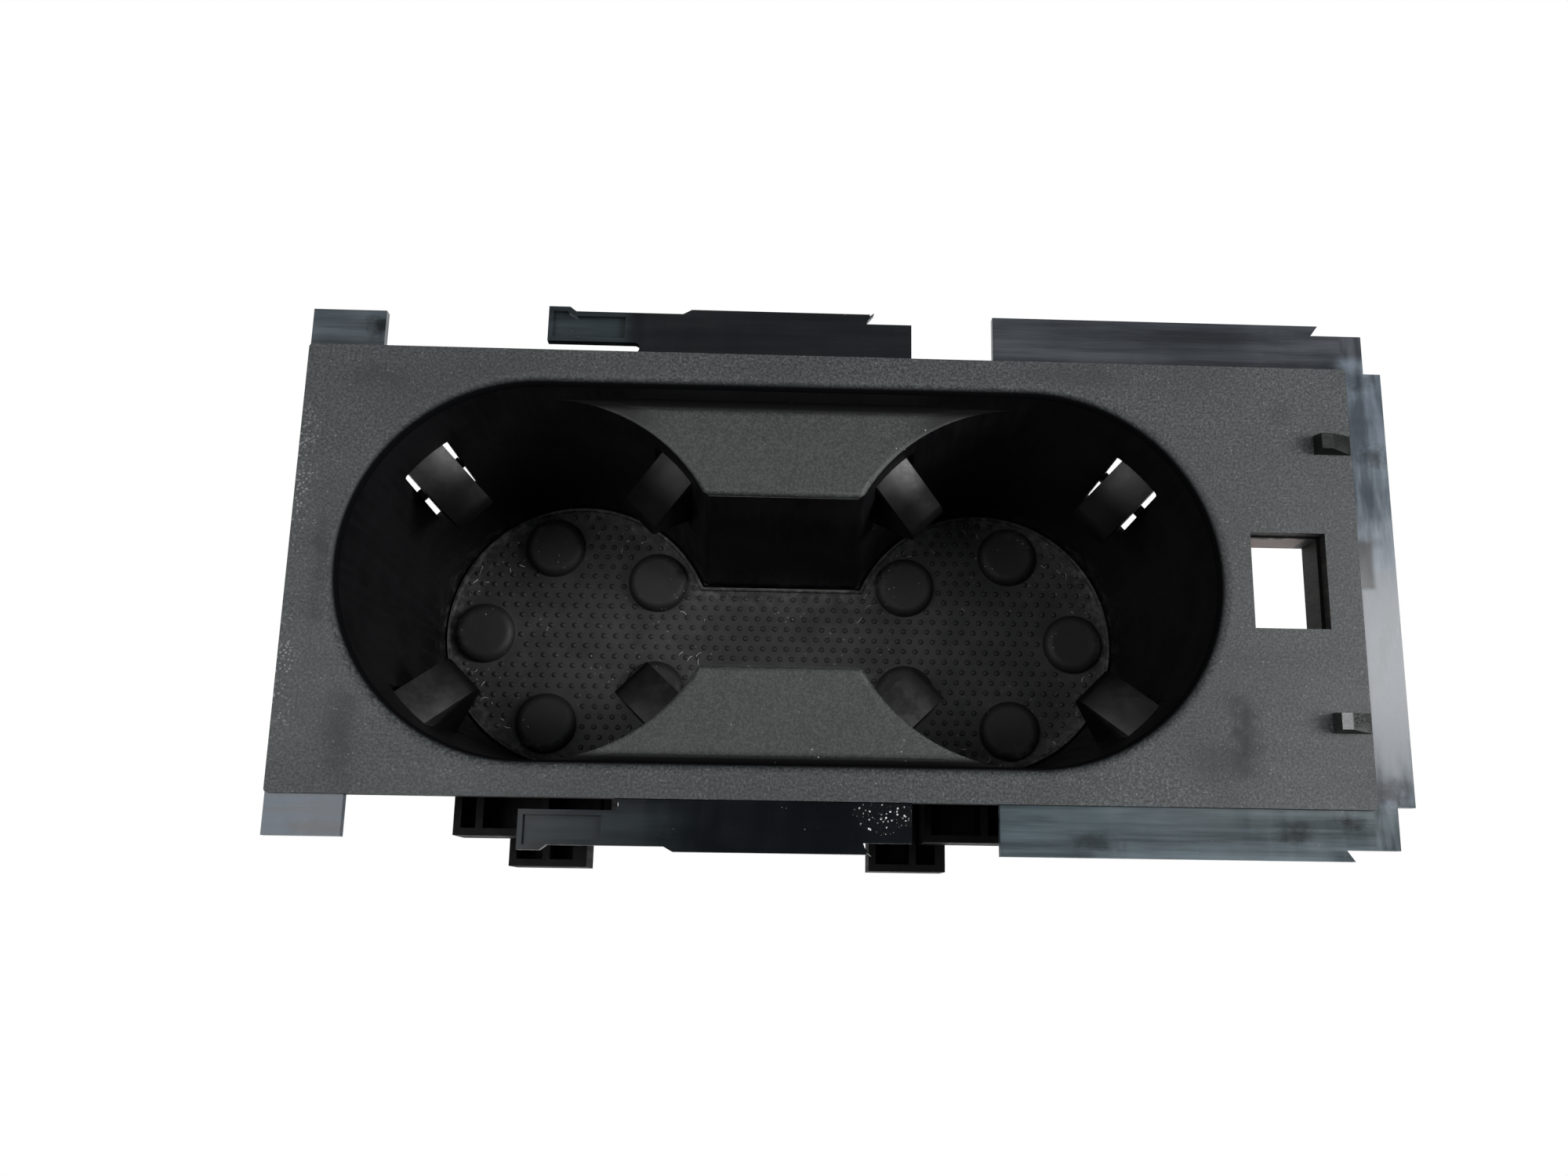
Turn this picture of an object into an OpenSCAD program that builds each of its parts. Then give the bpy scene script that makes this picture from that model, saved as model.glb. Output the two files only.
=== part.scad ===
// Double cup holder insert for a car's centre console
// Two tapered cups share one well, with eight sprung grip flaps and a rubber mat.
// The x axis runs along both cups, y points to the far side and z points up.
// The origin lies under the middle of the well's floor, halfway between the cups.

/* [Plate] */
// Length of the grained top plate
plate_l = 216; // [205:1:235]
// Width of the grained top plate
plate_w = 92; // [88:1:98]
// Thickness of the top plate
plate_t = 2.8; // [2:0.1:3.6]
// How far the plate's centre lies to the right of the midpoint between the cups
plate_shift = 9.6; // [8:0.2:12]
// Radius of the plate's corners
plate_corner_r = 0.8; // [0.4:0.1:1.5]

/* [Cups] */
// Distance between the two cup centres
cup_pitch = 100.4; // [98:0.2:104]
// Radius of a cup's wall where it would meet the top of the plate
cup_top_r = 38.8; // [37:0.1:40]
// Radius of a cup's wall at the floor
cup_floor_r = 33.4; // [31:0.1:35]
// Depth from the top of the plate to the floor under the mat
cup_depth = 74.5; // [66:0.5:84]
// Thickness of the cup walls
wall_t = 2.2; // [1.8:0.1:2.8]
// Thickness of the floor
floor_t = 2.5; // [2:0.1:3.5]
// Radius that rounds the well's rim over into the plate
rim_r = 2.4; // [1.5:0.1:3]
// Number of flat steps round a full circle in the preview
round_steps = 96; // [48:8:144]

/* [Neck] */
// Depth of the two shelves below the top of the plate
shelf_depth = 8.4; // [6:0.2:11]
// Half the width of the neck between the shelves at the shelf
neck_top_half = 18.1; // [16:0.1:20]
// Half the width of the neck at the floor
neck_floor_half = 13.4; // [12:0.1:15]
// Radius of the soft edge round each shelf
shelf_edge_r = 1.3; // [0.8:0.1:1.8]
// Radius of the shelves' front corners seen from above
shelf_corner_r = 2.6; // [2:0.1:3.5]

/* [Mat] */
// Thickness of the rubber mat
mat_t = 2; // [1.5:0.1:3]
// Gap between the mat's edge and the wall
mat_gap = 0.4; // [0.3:0.1:0.8]
// Height of the lip along the mat's edge
mat_lip_h = 0.7; // [0.4:0.1:1.2]
// Width of the lip along the mat's edge
mat_lip_w = 0.9; // [0.6:0.1:1.5]
// Number of round pads in each cup
pad_count = 5; // [3:1:6]
// Diameter of a round pad
pad_d = 14.8; // [12:0.1:16]
// Height of a round pad above the mat
pad_h = 2.9; // [2:0.1:3.5]
// Radius of a pad's rounded top edge
pad_edge_r = 2.2; // [1:0.1:2.4]
// Distance of the pads from the cup's centre
pad_ring_r = 23.5; // [21:0.1:24.5]

/* [Grip flaps] */
// Angle of the flaps from the long axis, seen from a cup's centre
grip_angle = 45; // [40:1:48]
// Width of a flap
flap_w = 9.4; // [8:0.1:10.5]
// Gap on each side of a flap in its slot
flap_gap = 1.3; // [0.9:0.1:1.6]
// Depth of the slots' upper end below the plate
slot_top = 15; // [13:0.2:18]
// Depth of the slots' lower end below the plate
slot_bottom = 43.6; // [43:0.2:48]
// How far a flap's nose stands into the cup from the wall at its height
flap_reach = 11.6; // [9:0.1:12.4]
// Depth of the nose's centre below the plate
nose_depth = 27.8; // [26:0.2:30]
// Radius of the flap's nose
nose_r = 3.4; // [2.5:0.1:4]
// Radius of the flap's hinge barrel
barrel_r = 3.2; // [3:0.1:3.6]
// Radius of the flap's thin lower end
tail_r = 0.9; // [0.7:0.1:1.2]
// Thickness of a flap's skin
flap_skin = 1.4; // [1:0.1:1.8]
// Diameter of a steel hinge pin
pin_d = 2; // [1.6:0.1:2.4]
// Radial running clearance between a pin and its flap
pin_run = 0.05; // [0.03:0.01:0.08]
// Radial clearance between a pin and the housing's ears
pin_fit = 0.02; // [0.01:0.01:0.03]
// Thickness of a hinge ear
ear_t = 2; // [1.6:0.1:2.6]
// Height of the stop lug on each side of a flap
lug_h = 1.8; // [1.4:0.1:2.4]

/* [Springs] */
// Diameter of the spring wire
wire_d = 0.6; // [0.4:0.05:0.7]
// Mean radius of the spring's coil
coil_r = 1.85; // [1.75:0.05:2]
// Number of full turns in the coil
coil_turns = 4; // [3:1:4]

/* [Flanges] */
// Step from the top of the plate down to the flanges
flange_step = 0.8; // [0.4:0.1:1.2]
// How far the side flanges stand out past the plate
flange_out = 10; // [8:0.2:12]
// How far the flange's outer edge is set back at its notches
flange_setback = 2.2; // [1.5:0.1:3]
// Width of the flange past the plate's right end
end_flange_w = 7.8; // [5:0.2:10]
// Length of the tabs at the plate's left end
tab_l = 15; // [12:0.5:18]
// How far the left tabs stand out past the plate
tab_out = 8; // [6:0.2:10]
// Distance from the plate's left end to the middle flange
mid_flange_start = 66.5; // [60:0.5:70]
// Length of the middle flange
mid_flange_l = 58; // [50:0.5:62]
// Distance from the plate's right end back to the right flange's start
right_flange_l = 74.4; // [65:0.2:80]
// Length of the springy arm that carries the snap head
arm_l = 18; // [14:0.5:22]
// Width of the slot between the snap arm and the plate
arm_slot_w = 2.3; // [1.8:0.1:3]
// Depth of the pocket in the snap arm
arm_pocket = 1; // [0.6:0.1:1.4]
// Width of the rim left round the snap arm's pocket
arm_rim = 1; // [0.8:0.1:1.4]

/* [Window] */
// Length of the window opening
window_l = 15.4; // [12:0.1:18]
// Width of the window opening
window_w = 20; // [15:0.2:24]
// Distance from the plate's right end to the window
window_inset = 6.8; // [6:0.1:9]
// Depth of the window's duct below the plate's top
window_depth = 10.7; // [8:0.1:14]
// Thickness of the duct walls
duct_t = 1.6; // [1.2:0.1:2.2]
// How far the duct's right wall steps in below the plate
duct_step = 0.8; // [0.4:0.1:1.2]

/* [Hooks] */
// Length of each hook on the plate's right end
hook_l = 7.8; // [6:0.1:10]
// Width of each hook at its foot
hook_w = 4.1; // [3:0.1:6]
// Width of the flat top of each hook
hook_top_w = 3.3; // [2:0.1:4]
// Height of each hook
hook_h = 3.3; // [2.5:0.1:5]
// Length of the flat top of each hook
hook_top_l = 2.1; // [1.5:0.1:4]
// Distance of each hook's centre from the long axis
hook_y = 29; // [24:0.1:34]

/* [Side pockets] */
// Thickness of the side pockets' walls
pocket_t = 1.5; // [1.2:0.1:2]
// Height of the side pockets
pocket_h = 11; // [8:0.5:14]
// Depth of the upper pockets below the plate's top
pocket_upper_depth = 18; // [16:0.5:21]
// Depth of the lower pockets below the plate's top
pocket_lower_depth = 31; // [30:0.5:36]
// How far the upper pockets reach from the long axis
pocket_upper_y = 52.6; // [50:0.2:54]
// How far the lower pockets reach from the long axis
pocket_lower_y = 58.2; // [56:0.2:60]
// Length of each upper pocket
pocket_upper_l = 32; // [26:0.5:36]
// Length of each lower pocket
pocket_lower_l = 16.4; // [12:0.2:18]

/* [Hidden] */
$fn = round_steps;
eps = 0.01;

// Heights
top_z = cup_depth + floor_t;
plate_bottom_z = top_z - plate_t;
flange_top_z = top_z - flange_step;
shelf_z = top_z - shelf_depth;

// Plate edges
plate_left = plate_shift - plate_l / 2;
plate_right = plate_shift + plate_l / 2;
plate_half = plate_w / 2;
flange_y = plate_half + flange_out;

// Well
cup_x = cup_pitch / 2;
draft = (cup_top_r - cup_floor_r) / cup_depth;
neck_draft = (neck_top_half - neck_floor_half) / (cup_depth - shelf_depth);
function cup_r(z) = cup_floor_r + draft * (z - floor_t);
function neck_half(z) = neck_floor_half + neck_draft * (z - floor_t);

// Sides of the two cups, and the flaps' places as [side, turn from the x axis]
OUTER_BACK = 0;
INNER_BACK = 1;
INNER_FRONT = 2;
OUTER_FRONT = 3;
LEFT = -1;
RIGHT = 1;
function outer_turn(side) = side == RIGHT ? grip_angle : 180 - grip_angle;
function inner_turn(side) = side == RIGHT ? 180 - grip_angle : grip_angle;
function grip_turn(side, place) =
    place == OUTER_BACK ? outer_turn(side) :
    place == INNER_BACK ? inner_turn(side) :
    place == INNER_FRONT ? -inner_turn(side) : -outer_turn(side);

// Flap profile, in a plane through the cup's centre: x is the radius and y the height
slot_w = flap_w + 2 * flap_gap;
slot_top_z = top_z - slot_top;
slot_bottom_z = top_z - slot_bottom;
slot_end_r = 0.7;
barrel_gap = 0.4;
pivot = [cup_r(slot_top_z) + wall_t + barrel_r - 0.4, slot_top_z - barrel_r - barrel_gap];
nose_z = top_z - nose_depth;
nose = [cup_r(nose_z) - flap_reach + nose_r, nose_z];
tail_z = slot_bottom_z + tail_r + 0.9;
tail = [cup_r(tail_z) + wall_t / 2, tail_z];

// Hinge and stops
pin_gap = 0.25;
ear_y = slot_w / 2 + pin_gap;
ear_r = barrel_r - 0.4;
pin_l = 2 * (ear_y + ear_t) + 0.6;
spring_room = barrel_r - 0.7;
knuckle_y = flap_w / 2 - 2.1;
stop_gap = 0.3;
lug_z = nose_z - 7.2;
lug_x = cup_r(lug_z) + wall_t + stop_gap;
lug_l = 2.2;
lug_out = 1.6;

// Spring
coil_half = knuckle_y - wire_d - 0.2;
leg_up_turn = 29;
leg_up_l = 7.5;
leg_in_turn = -72;
leg_in_l = 12.2;
wire_sides = 8;
turn_steps = 12;

// Window and hooks
shelf_edge_turn = 80;
hook_lean = 0.5;
hook_inset = 0.2;
window_right = plate_right - window_inset;
window_left = window_right - window_l;
mid_left = plate_left + mid_flange_start;
mid_right = mid_left + mid_flange_l;
arm_y = plate_half + arm_slot_w;
arm_left = mid_left - arm_l;
right_left = plate_right - right_flange_l;
notch_l = 1.6;

// Each side pocket as [side, its middle's distance from that cup's centre, its webs' distances
// from its middle], all along x
UPPER_POCKETS = [[LEFT, 0.2, [-10.8, 2.4, 13]], [RIGHT, -4, [-3.5, 10]]];
LOWER_POCKETS = [[LEFT, 1.7, [-0.4, 6]], [RIGHT, -22.3, [1.2, 6.8]]];

// Pads sit in staggered rings, mirrored about the middle
pad_step = 360 / pad_count;
mat_r = cup_floor_r + draft * mat_t / 2 - mat_gap;
mat_half = neck_floor_half - mat_gap;
mat_top_z = floor_t + mat_t;

// Outer tangent of two circles given as [centre, radius], on one side of the line between them
function tangent_turn(c1, r1, c2, r2, side) =
    atan2(c2[1] - c1[1], c2[0] - c1[0]) + side * acos((r1 - r2) / norm(c2 - c1));
function on_circle(c, r, turn) = c + r * [cos(turn), sin(turn)];

// Solid of revolution for one cup, from a radius at the floor to one at the top
module cone(r_low, r_high, z_low, z_high) {
    translate([0, 0, z_low])
        cylinder(r1 = r_low, r2 = r_high, h = z_high - z_low);
}

module both_cups() {
    for (side = [LEFT, RIGHT])
        translate([side * cup_x, 0, 0])
            children();
}

module both_sides() {
    for (side = [0, 1])
        mirror([0, side, 0])
            children();
}

// Prism along x from a profile drawn as [y, z]
module along_x(x_low, x_high) {
    translate([x_low, 0, 0])
        rotate([90, 0, 90])
            linear_extrude(height = x_high - x_low)
                children();
}

// Solid that runs round the whole well: two half turns about the cups and two straight
// runs between them, from one profile drawn as [distance from the middle line, z]
module round_slot() {
    for (side = [LEFT, RIGHT])
        translate([side * cup_x, 0, 0])
            rotate([0, 0, side == RIGHT ? -90 : 90])
                rotate_extrude(angle = 180)
                    children();
    both_sides()
        along_x(-cup_x, cup_x)
            children();
}

// Profile of the space above the shelves, with the rim rounded over into the plate
module upper_profile() {
    z_rim = top_z - rim_r;
    polygon([
        [0, shelf_z], [cup_r(shelf_z), shelf_z], [cup_r(z_rim), z_rim],
        [cup_r(z_rim), top_z + 1], [0, top_z + 1]
    ]);
    difference() {
        translate([cup_r(z_rim) - 1, z_rim])
            square([rim_r + 1, rim_r + 1]);
        translate([cup_r(z_rim) + rim_r, z_rim])
            circle(r = rim_r);
    }
}

// Space between the two cups below the shelves
module neck_space() {
    along_x(-cup_x, cup_x)
        polygon([
            [-neck_half(floor_t), floor_t], [neck_half(floor_t), floor_t],
            [neck_half(shelf_z), shelf_z], [-neck_half(shelf_z), shelf_z]
        ]);
}

// Profile that rounds a shelf's edge, for a wall at the given distance
module shelf_edge_profile(wall) {
    difference() {
        translate([wall - 1, shelf_z - shelf_edge_r])
            square([1 + shelf_edge_r, shelf_edge_r + eps]);
        translate([wall + shelf_edge_r, shelf_z - shelf_edge_r])
            circle(r = shelf_edge_r);
    }
}

module shelf_edge_cut() {
    for (side = [LEFT, RIGHT])
        translate([side * (cup_x - shelf_edge_r), 0, 0])
            rotate([0, 0, side == RIGHT ? 180 - shelf_edge_turn : -shelf_edge_turn])
                rotate_extrude(angle = 2 * shelf_edge_turn)
                    shelf_edge_profile(cup_r(shelf_z) - shelf_edge_r);
    both_sides()
        along_x(-cup_x / 2, cup_x / 2)
            shelf_edge_profile(neck_half(shelf_z));
}

// Centre of a shelf corner's rounding at height z, on the left half of the far shelf
corner_bite = 0.05;
corner_steps = 4;
function corner_y(z) = neck_half(z) + shelf_corner_r - corner_bite;
function corner_x(z) =
    -cup_x + sqrt(pow(cup_r(z) + shelf_corner_r - corner_bite, 2) - pow(corner_y(z), 2));

// Rounds a shelf's front corner all the way down, leaning as the walls do
module corner_cut() {
    foot = [corner_x(mat_top_z), corner_y(mat_top_z), mat_top_z];
    head = [corner_x(shelf_z), corner_y(shelf_z), shelf_z];
    run = head - foot;
    lean = acos(run[2] / norm(run));
    heading = atan2(run[1], run[0]);
    to_cup = atan2(-corner_y(shelf_z), -cup_x - corner_x(shelf_z));
    to_neck = -90;
    arc = [for (i = [0 : corner_steps])
        on_circle([0, 0], shelf_corner_r, to_cup + (to_neck - to_cup) * i / corner_steps)];
    translate(foot)
        rotate([0, 0, heading])
            rotate([0, lean, 0])
                rotate([0, 0, -heading])
                    linear_extrude(height = norm(run) + 1)
                        polygon(concat(
                            [on_circle([0, 0], shelf_corner_r + 1, to_cup)], arc,
                            [on_circle([0, 0], shelf_corner_r + 1, to_neck)],
                            [on_circle([0, 0], 2 * shelf_corner_r, (to_cup + to_neck) / 2)]
                        ));
}

// Slot in the wall for one flap, with small round corners
module flap_slot() {
    translate([cup_floor_r - 6, 0, (slot_top_z + slot_bottom_z) / 2])
        rotate([90, 0, 90])
            linear_extrude(height = cup_top_r - cup_floor_r + 6 + 2 * wall_t)
                rounded_rect(slot_w, slot_top_z - slot_bottom_z, slot_end_r);
}

module rounded_rect(w, h, r) {
    square([w - 2 * r, h], center = true);
    square([w, h - 2 * r], center = true);
    for (x = [-1, 1], y = [-1, 1])
        translate([x * (w / 2 - r), y * (h / 2 - r)])
            circle(r = r, $fn = 24);
}

// Two ears behind the wall that carry one hinge pin
module hinge_ears() {
    for (y = [-ear_y - ear_t / 2, ear_y + ear_t / 2])
        translate([0, y, 0])
            across(ear_t) {
                translate([pivot[0] - barrel_r - wall_t, pivot[1] - ear_r])
                    square([barrel_r + wall_t, 2 * ear_r]);
                translate(pivot)
                    circle(r = ear_r);
            }
}

module pin_bore() {
    translate([pivot[0], 0, pivot[1]])
        rotate([90, 0, 0])
            cylinder(d = pin_d + 2 * pin_fit, h = pin_l + 4, center = true);
}

// Puts a child at one flap's place, with x pointing out of the cup
module at_grip(side, place) {
    translate([side * cup_x, 0, 0])
        rotate([0, 0, grip_turn(side, place)])
            children();
}

module at_all_grips() {
    for (side = [LEFT, RIGHT], place = [OUTER_BACK, INNER_BACK, INNER_FRONT, OUTER_FRONT])
        at_grip(side, place)
            children();
}

// Outside of the well: two cups, the neck between them and the band round the shelves
module well_outside() {
    band_z = shelf_z - wall_t;
    both_cups()
        cone(cup_r(0) + wall_t, cup_r(band_z) + wall_t, 0, band_z);
    round_slot()
        polygon([
            [0, band_z], [cup_r(band_z) + wall_t, band_z],
            [cup_r(plate_bottom_z + 1) + wall_t, plate_bottom_z + 1], [0, plate_bottom_z + 1]
        ]);
    along_x(-cup_x, cup_x)
        polygon([
            [-neck_half(0) - wall_t, 0], [neck_half(0) + wall_t, 0],
            [neck_half(band_z) + wall_t, band_z], [-neck_half(band_z) - wall_t, band_z]
        ]);
}

module well_inside() {
    both_cups()
        cone(cup_r(floor_t), cup_r(shelf_z), floor_t, shelf_z);
    round_slot()
        upper_profile();
    neck_space();
    shelf_edge_cut();
    both_sides() {
        corner_cut();
        mirror([1, 0, 0])
            corner_cut();
    }
}

module plate() {
    translate([plate_shift, 0, plate_bottom_z])
        linear_extrude(height = plate_t)
            rounded_rect(plate_l, plate_w, plate_corner_r);
}

// Flat outline at the height of the flanges
module flange_sheet() {
    translate([0, 0, plate_bottom_z])
        linear_extrude(height = flange_top_z - plate_bottom_z)
            children();
}

module left_tabs() {
    flange_sheet()
        both_edges()
            translate([plate_left, plate_half - 2])
                square([tab_l, tab_out + 2]);
}

module both_edges() {
    for (side = [0, 1])
        mirror([0, side])
            children();
}

// Middle flange with its snap arm, outlined on the far side
module mid_flange() {
    head = 1.7;
    flange_sheet()
        both_edges()
            difference() {
                union() {
                    polygon([
                        [arm_left, plate_half - 2],
                        [arm_left, flange_y],
                        [arm_left + 4.4, flange_y],
                        [arm_left + 5.7, flange_y - 1],
                        [mid_left + 10, flange_y - 1],
                        [mid_left + 11.8, flange_y],
                        [mid_right - 8.7, flange_y],
                        [mid_right - 8.7 - notch_l / 2, flange_y - flange_setback],
                        [mid_right, flange_y - flange_setback],
                        [mid_right, plate_half - 2]
                    ]);
                    translate([mid_right - 8.7 - notch_l, flange_y - head])
                        polygon([[0, 0], [notch_l + 0.8, head + 0.3], [notch_l / 2, 0]]);
                }
                translate([arm_left - 1, plate_half - 3])
                    square([arm_l + 1, arm_slot_w + 3]);
                translate([mid_left, plate_half + arm_slot_w / 2])
                    circle(d = arm_slot_w, $fn = 32);
            }
}

module arm_pocket_cut() {
    translate([0, 0, flange_top_z - arm_pocket])
        linear_extrude(height = arm_pocket + 1)
            both_edges()
                polygon([
                    [arm_left + arm_rim, arm_y + arm_rim],
                    [mid_left - 2, arm_y + arm_rim],
                    [mid_left - 2, flange_y - 1 - arm_rim],
                    [arm_left + 5.9, flange_y - 1 - arm_rim],
                    [arm_left + 4, flange_y - arm_rim],
                    [arm_left + arm_rim, flange_y - arm_rim]
                ]);
}

// Flange along the right half and round the right end
module right_flange() {
    notch_x = plate_right - 4.9;
    corner_x = plate_right + end_flange_w - 3.6;
    end_x = plate_right + end_flange_w;
    flange_sheet() {
        both_edges()
            polygon([
                [right_left, plate_half - 2],
                [right_left, flange_y],
                [notch_x, flange_y],
                [notch_x - notch_l, flange_y - flange_setback],
                [corner_x, flange_y - flange_setback],
                [corner_x, plate_half - 0.6],
                [corner_x, plate_half - 2]
            ]);
        translate([plate_right - 2, -(plate_half - 0.6)])
            square([end_x - plate_right + 2, plate_w - 1.2]);
    }
}

// Duct under the window
module window_duct() {
    z_low = top_z - window_depth;
    translate([window_left - duct_t, -window_w / 2 - duct_t, z_low])
        cube([window_l + 2 * duct_t, window_w + 2 * duct_t, window_depth - eps]);
}

module window_cut() {
    translate([window_left, -window_w / 2, plate_bottom_z])
        cube([window_l, window_w, plate_t + 1]);
    translate([window_left, (duct_step - window_w) / 2, top_z - window_depth - 1])
        cube([window_l - duct_step, window_w - duct_step, window_depth]);
}

// Two wedge hooks at the plate's right end
module hooks() {
    both_sides()
        translate([0, hook_y, 0])
            intersection() {
                rotate([90, 0, 0])
                    linear_extrude(height = hook_w + 1, center = true)
                        polygon([
                            [plate_right - hook_l, top_z - 1],
                            [plate_right - hook_l, top_z],
                            [plate_right - hook_l + hook_lean, top_z + hook_h],
                            [plate_right - hook_l + hook_lean + hook_top_l, top_z + hook_h],
                            [plate_right - hook_inset, top_z + hook_inset],
                            [plate_right - hook_inset, top_z - 1]
                        ]);
                along_x(plate_right - hook_l - 1, plate_right)
                    polygon([
                        [-hook_w / 2, top_z - 1], [hook_w / 2, top_z - 1], [hook_w / 2, top_z],
                        [hook_top_w / 2, top_z + hook_h], [-hook_top_w / 2, top_z + hook_h],
                        [-hook_w / 2, top_z]
                    ]);
            }
}

// Thin-walled pocket on the far side, open at its top, on webs that run back into the cup's wall
module side_pocket(pocket, length, y_high, depth) {
    middle = pocket[0] * cup_x + pocket[1];
    z_low = top_z - depth - pocket_h;
    y_front = plate_half - 6;
    y_root = cup_floor_r * 0.9;
    translate([middle - length / 2, y_front, z_low])
        difference() {
            cube([length, y_high - y_front, pocket_h]);
            translate([pocket_t, -1, pocket_t])
                cube([length - 2 * pocket_t, y_high - y_front + 1 - pocket_t, pocket_h]);
        }
    for (web = pocket[2])
        translate([middle + web - pocket_t / 2, y_root, z_low])
            cube([pocket_t, y_high - y_root, pocket_h]);
}

module side_pockets() {
    both_sides() {
        for (pocket = UPPER_POCKETS)
            side_pocket(pocket, pocket_upper_l, pocket_upper_y, pocket_upper_depth);
        for (pocket = LOWER_POCKETS)
            side_pocket(pocket, pocket_lower_l, pocket_lower_y, pocket_lower_depth);
    }
}

// Ribs that stiffen the plate between the right cup and its right end
module plate_ribs() {
    rib_t = pocket_t;
    rib_h = 6;
    rib_end = 6;
    both_sides()
        for (y = [window_w / 2 + duct_t + 10, plate_half - 10])
            translate([cup_x + cup_floor_r - 8, y - rib_t / 2, plate_bottom_z - rib_h])
                cube([plate_right - rib_end - cup_x - cup_floor_r + 8, rib_t, rib_h + 1]);
}

module housing() {
    color([0.16, 0.165, 0.175])
        difference() {
            union() {
                plate();
                left_tabs();
                mid_flange();
                right_flange();
                well_outside();
                window_duct();
                hooks();
                side_pockets();
                plate_ribs();
                at_all_grips()
                    hinge_ears();
            }
            well_inside();
            window_cut();
            arm_pocket_cut();
            at_all_grips() {
                flap_slot();
                pin_bore();
            }
        }
}

// Outline of the mat, drawn inwards by a margin
module mat_outline(margin) {
    both_cups()
        circle(r = mat_r - margin);
    square([cup_pitch, 2 * (mat_half - margin)], center = true);
}

module pad() {
    r = pad_d / 2;
    rotate_extrude() {
        translate([0, -0.5])
            square([r, pad_h - pad_edge_r + 0.5]);
        translate([0, -0.5])
            square([r - pad_edge_r, pad_h + 0.5]);
        intersection() {
            translate([r - pad_edge_r, pad_h - pad_edge_r])
                circle(r = pad_edge_r);
            square([r, pad_h]);
        }
    }
}

module rubber_mat() {
    color([0.13, 0.135, 0.14]) {
        translate([0, 0, floor_t])
            linear_extrude(height = mat_t)
                mat_outline(0);
        translate([0, 0, mat_top_z - eps])
            linear_extrude(height = mat_lip_h + eps)
                difference() {
                    mat_outline(0);
                    mat_outline(mat_lip_w);
                }
        for (side = [LEFT, RIGHT], i = [0 : pad_count - 1])
            translate([side * cup_x, 0, mat_top_z])
                rotate([0, 0, (side == LEFT ? 180 : 0) + i * pad_step])
                    translate([pad_ring_r, 0, 0])
                        pad();
    }
}

// Smooth outline round three circles, each drawn smaller by a margin
module flap_outline(margin) {
    c = [pivot, nose, tail];
    r = [barrel_r - margin, nose_r - margin, max(tail_r - margin, 0.05)];
    turns = [for (i = [0 : 2]) tangent_turn(c[i], r[i], c[(i + 1) % 3], r[(i + 1) % 3], -1)];
    polygon([for (i = [0 : 2]) each [
        on_circle(c[i], r[i], turns[i]),
        on_circle(c[(i + 1) % 3], r[(i + 1) % 3], turns[i])
    ]]);
    for (i = [0 : 2])
        translate(c[i])
            circle(r = r[i]);
}

// Prism across a flap, from a profile drawn as [radius, height]
module across(w) {
    rotate([90, 0, 0])
        linear_extrude(height = w, center = true)
            children();
}

// Hollow of a flap, open towards the back
module flap_hollow() {
    across(flap_w - 2 * flap_skin)
        difference() {
            union() {
                flap_outline(flap_skin);
                polygon([nose, pivot, pivot + [12, 0], tail + [12, 4], tail + [0, 4]]);
            }
            translate(pivot)
                circle(r = barrel_r + 0.3);
        }
    across(2 * knuckle_y) {
        translate(pivot)
            circle(r = spring_room);
        translate([pivot[0] - 0.6, pivot[1] - spring_room])
            square([12.6, spring_room + barrel_r + 2]);
        polygon([
            pivot + [-1, -spring_room + 0.9],
            pivot + [8, -spring_room],
            tail + [9, 6],
            nose + [2.5, -0.6],
            pivot + [-3.2, -spring_room + 0.4]
        ]);
    }
}

module grip_flap(side, place) {
    color([0.2, 0.2, 0.205])
        at_grip(side, place)
            difference() {
                union() {
                    across(flap_w)
                        flap_outline(0);
                    for (flip = [0, 1])
                        mirror([0, flip, 0])
                            translate([lug_x, 0, lug_z - lug_h / 2])
                                cube([lug_l, flap_w / 2 + lug_out, lug_h]);
                }
                flap_hollow();
                translate([pivot[0], 0, pivot[1]])
                    rotate([90, 0, 0])
                        cylinder(d = pin_d + 2 * pin_run, h = flap_w + 2, center = true);
            }
}

module grip_pin(side, place) {
    color([0.72, 0.73, 0.75])
        at_grip(side, place)
            translate([pivot[0], 0, pivot[1]])
                rotate([90, 0, 0])
                    cylinder(d = pin_d, h = pin_l, center = true);
}

// Route of the spring's wire as [x, y, z] points: one leg, the coil and the other leg
coil_span = 360 * (coil_turns - 1) + leg_up_turn - leg_in_turn;
coil_points = [
    for (i = [0 : turn_steps * coil_turns])
        let (turn = leg_up_turn - coil_span * i / (turn_steps * coil_turns))
        let (p = on_circle(pivot, coil_r, turn))
        [p[0], coil_half * (1 - 2 * i / (turn_steps * coil_turns)), p[1]]
];
leg_up_end = on_circle(pivot, coil_r, leg_up_turn) + leg_up_l * [-sin(leg_up_turn), cos(leg_up_turn)];
leg_in_end = on_circle(pivot, coil_r, leg_in_turn) + leg_in_l * [sin(leg_in_turn), -cos(leg_in_turn)];
wire_route = concat(
    [[leg_up_end[0], coil_half, leg_up_end[1]]],
    coil_points,
    [[leg_in_end[0], -coil_half, leg_in_end[1]]]
);

function unit(v) = v / norm(v);
function heading_at(route, i) =
    unit(route[min(i + 1, len(route) - 1)] - route[max(i - 1, 0)]);

// Ring of points round the wire, square to its run; the y axis is never along the run
function wire_ring(route, i) =
    let (run = heading_at(route, i))
    let (u = unit(cross(run, [0, 1, 0])))
    let (v = cross(run, u))
    [for (k = [0 : wire_sides - 1])
        let (turn = 360 * k / wire_sides)
            route[i] + wire_d / 2 * (cos(turn) * u + sin(turn) * v)];

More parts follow.
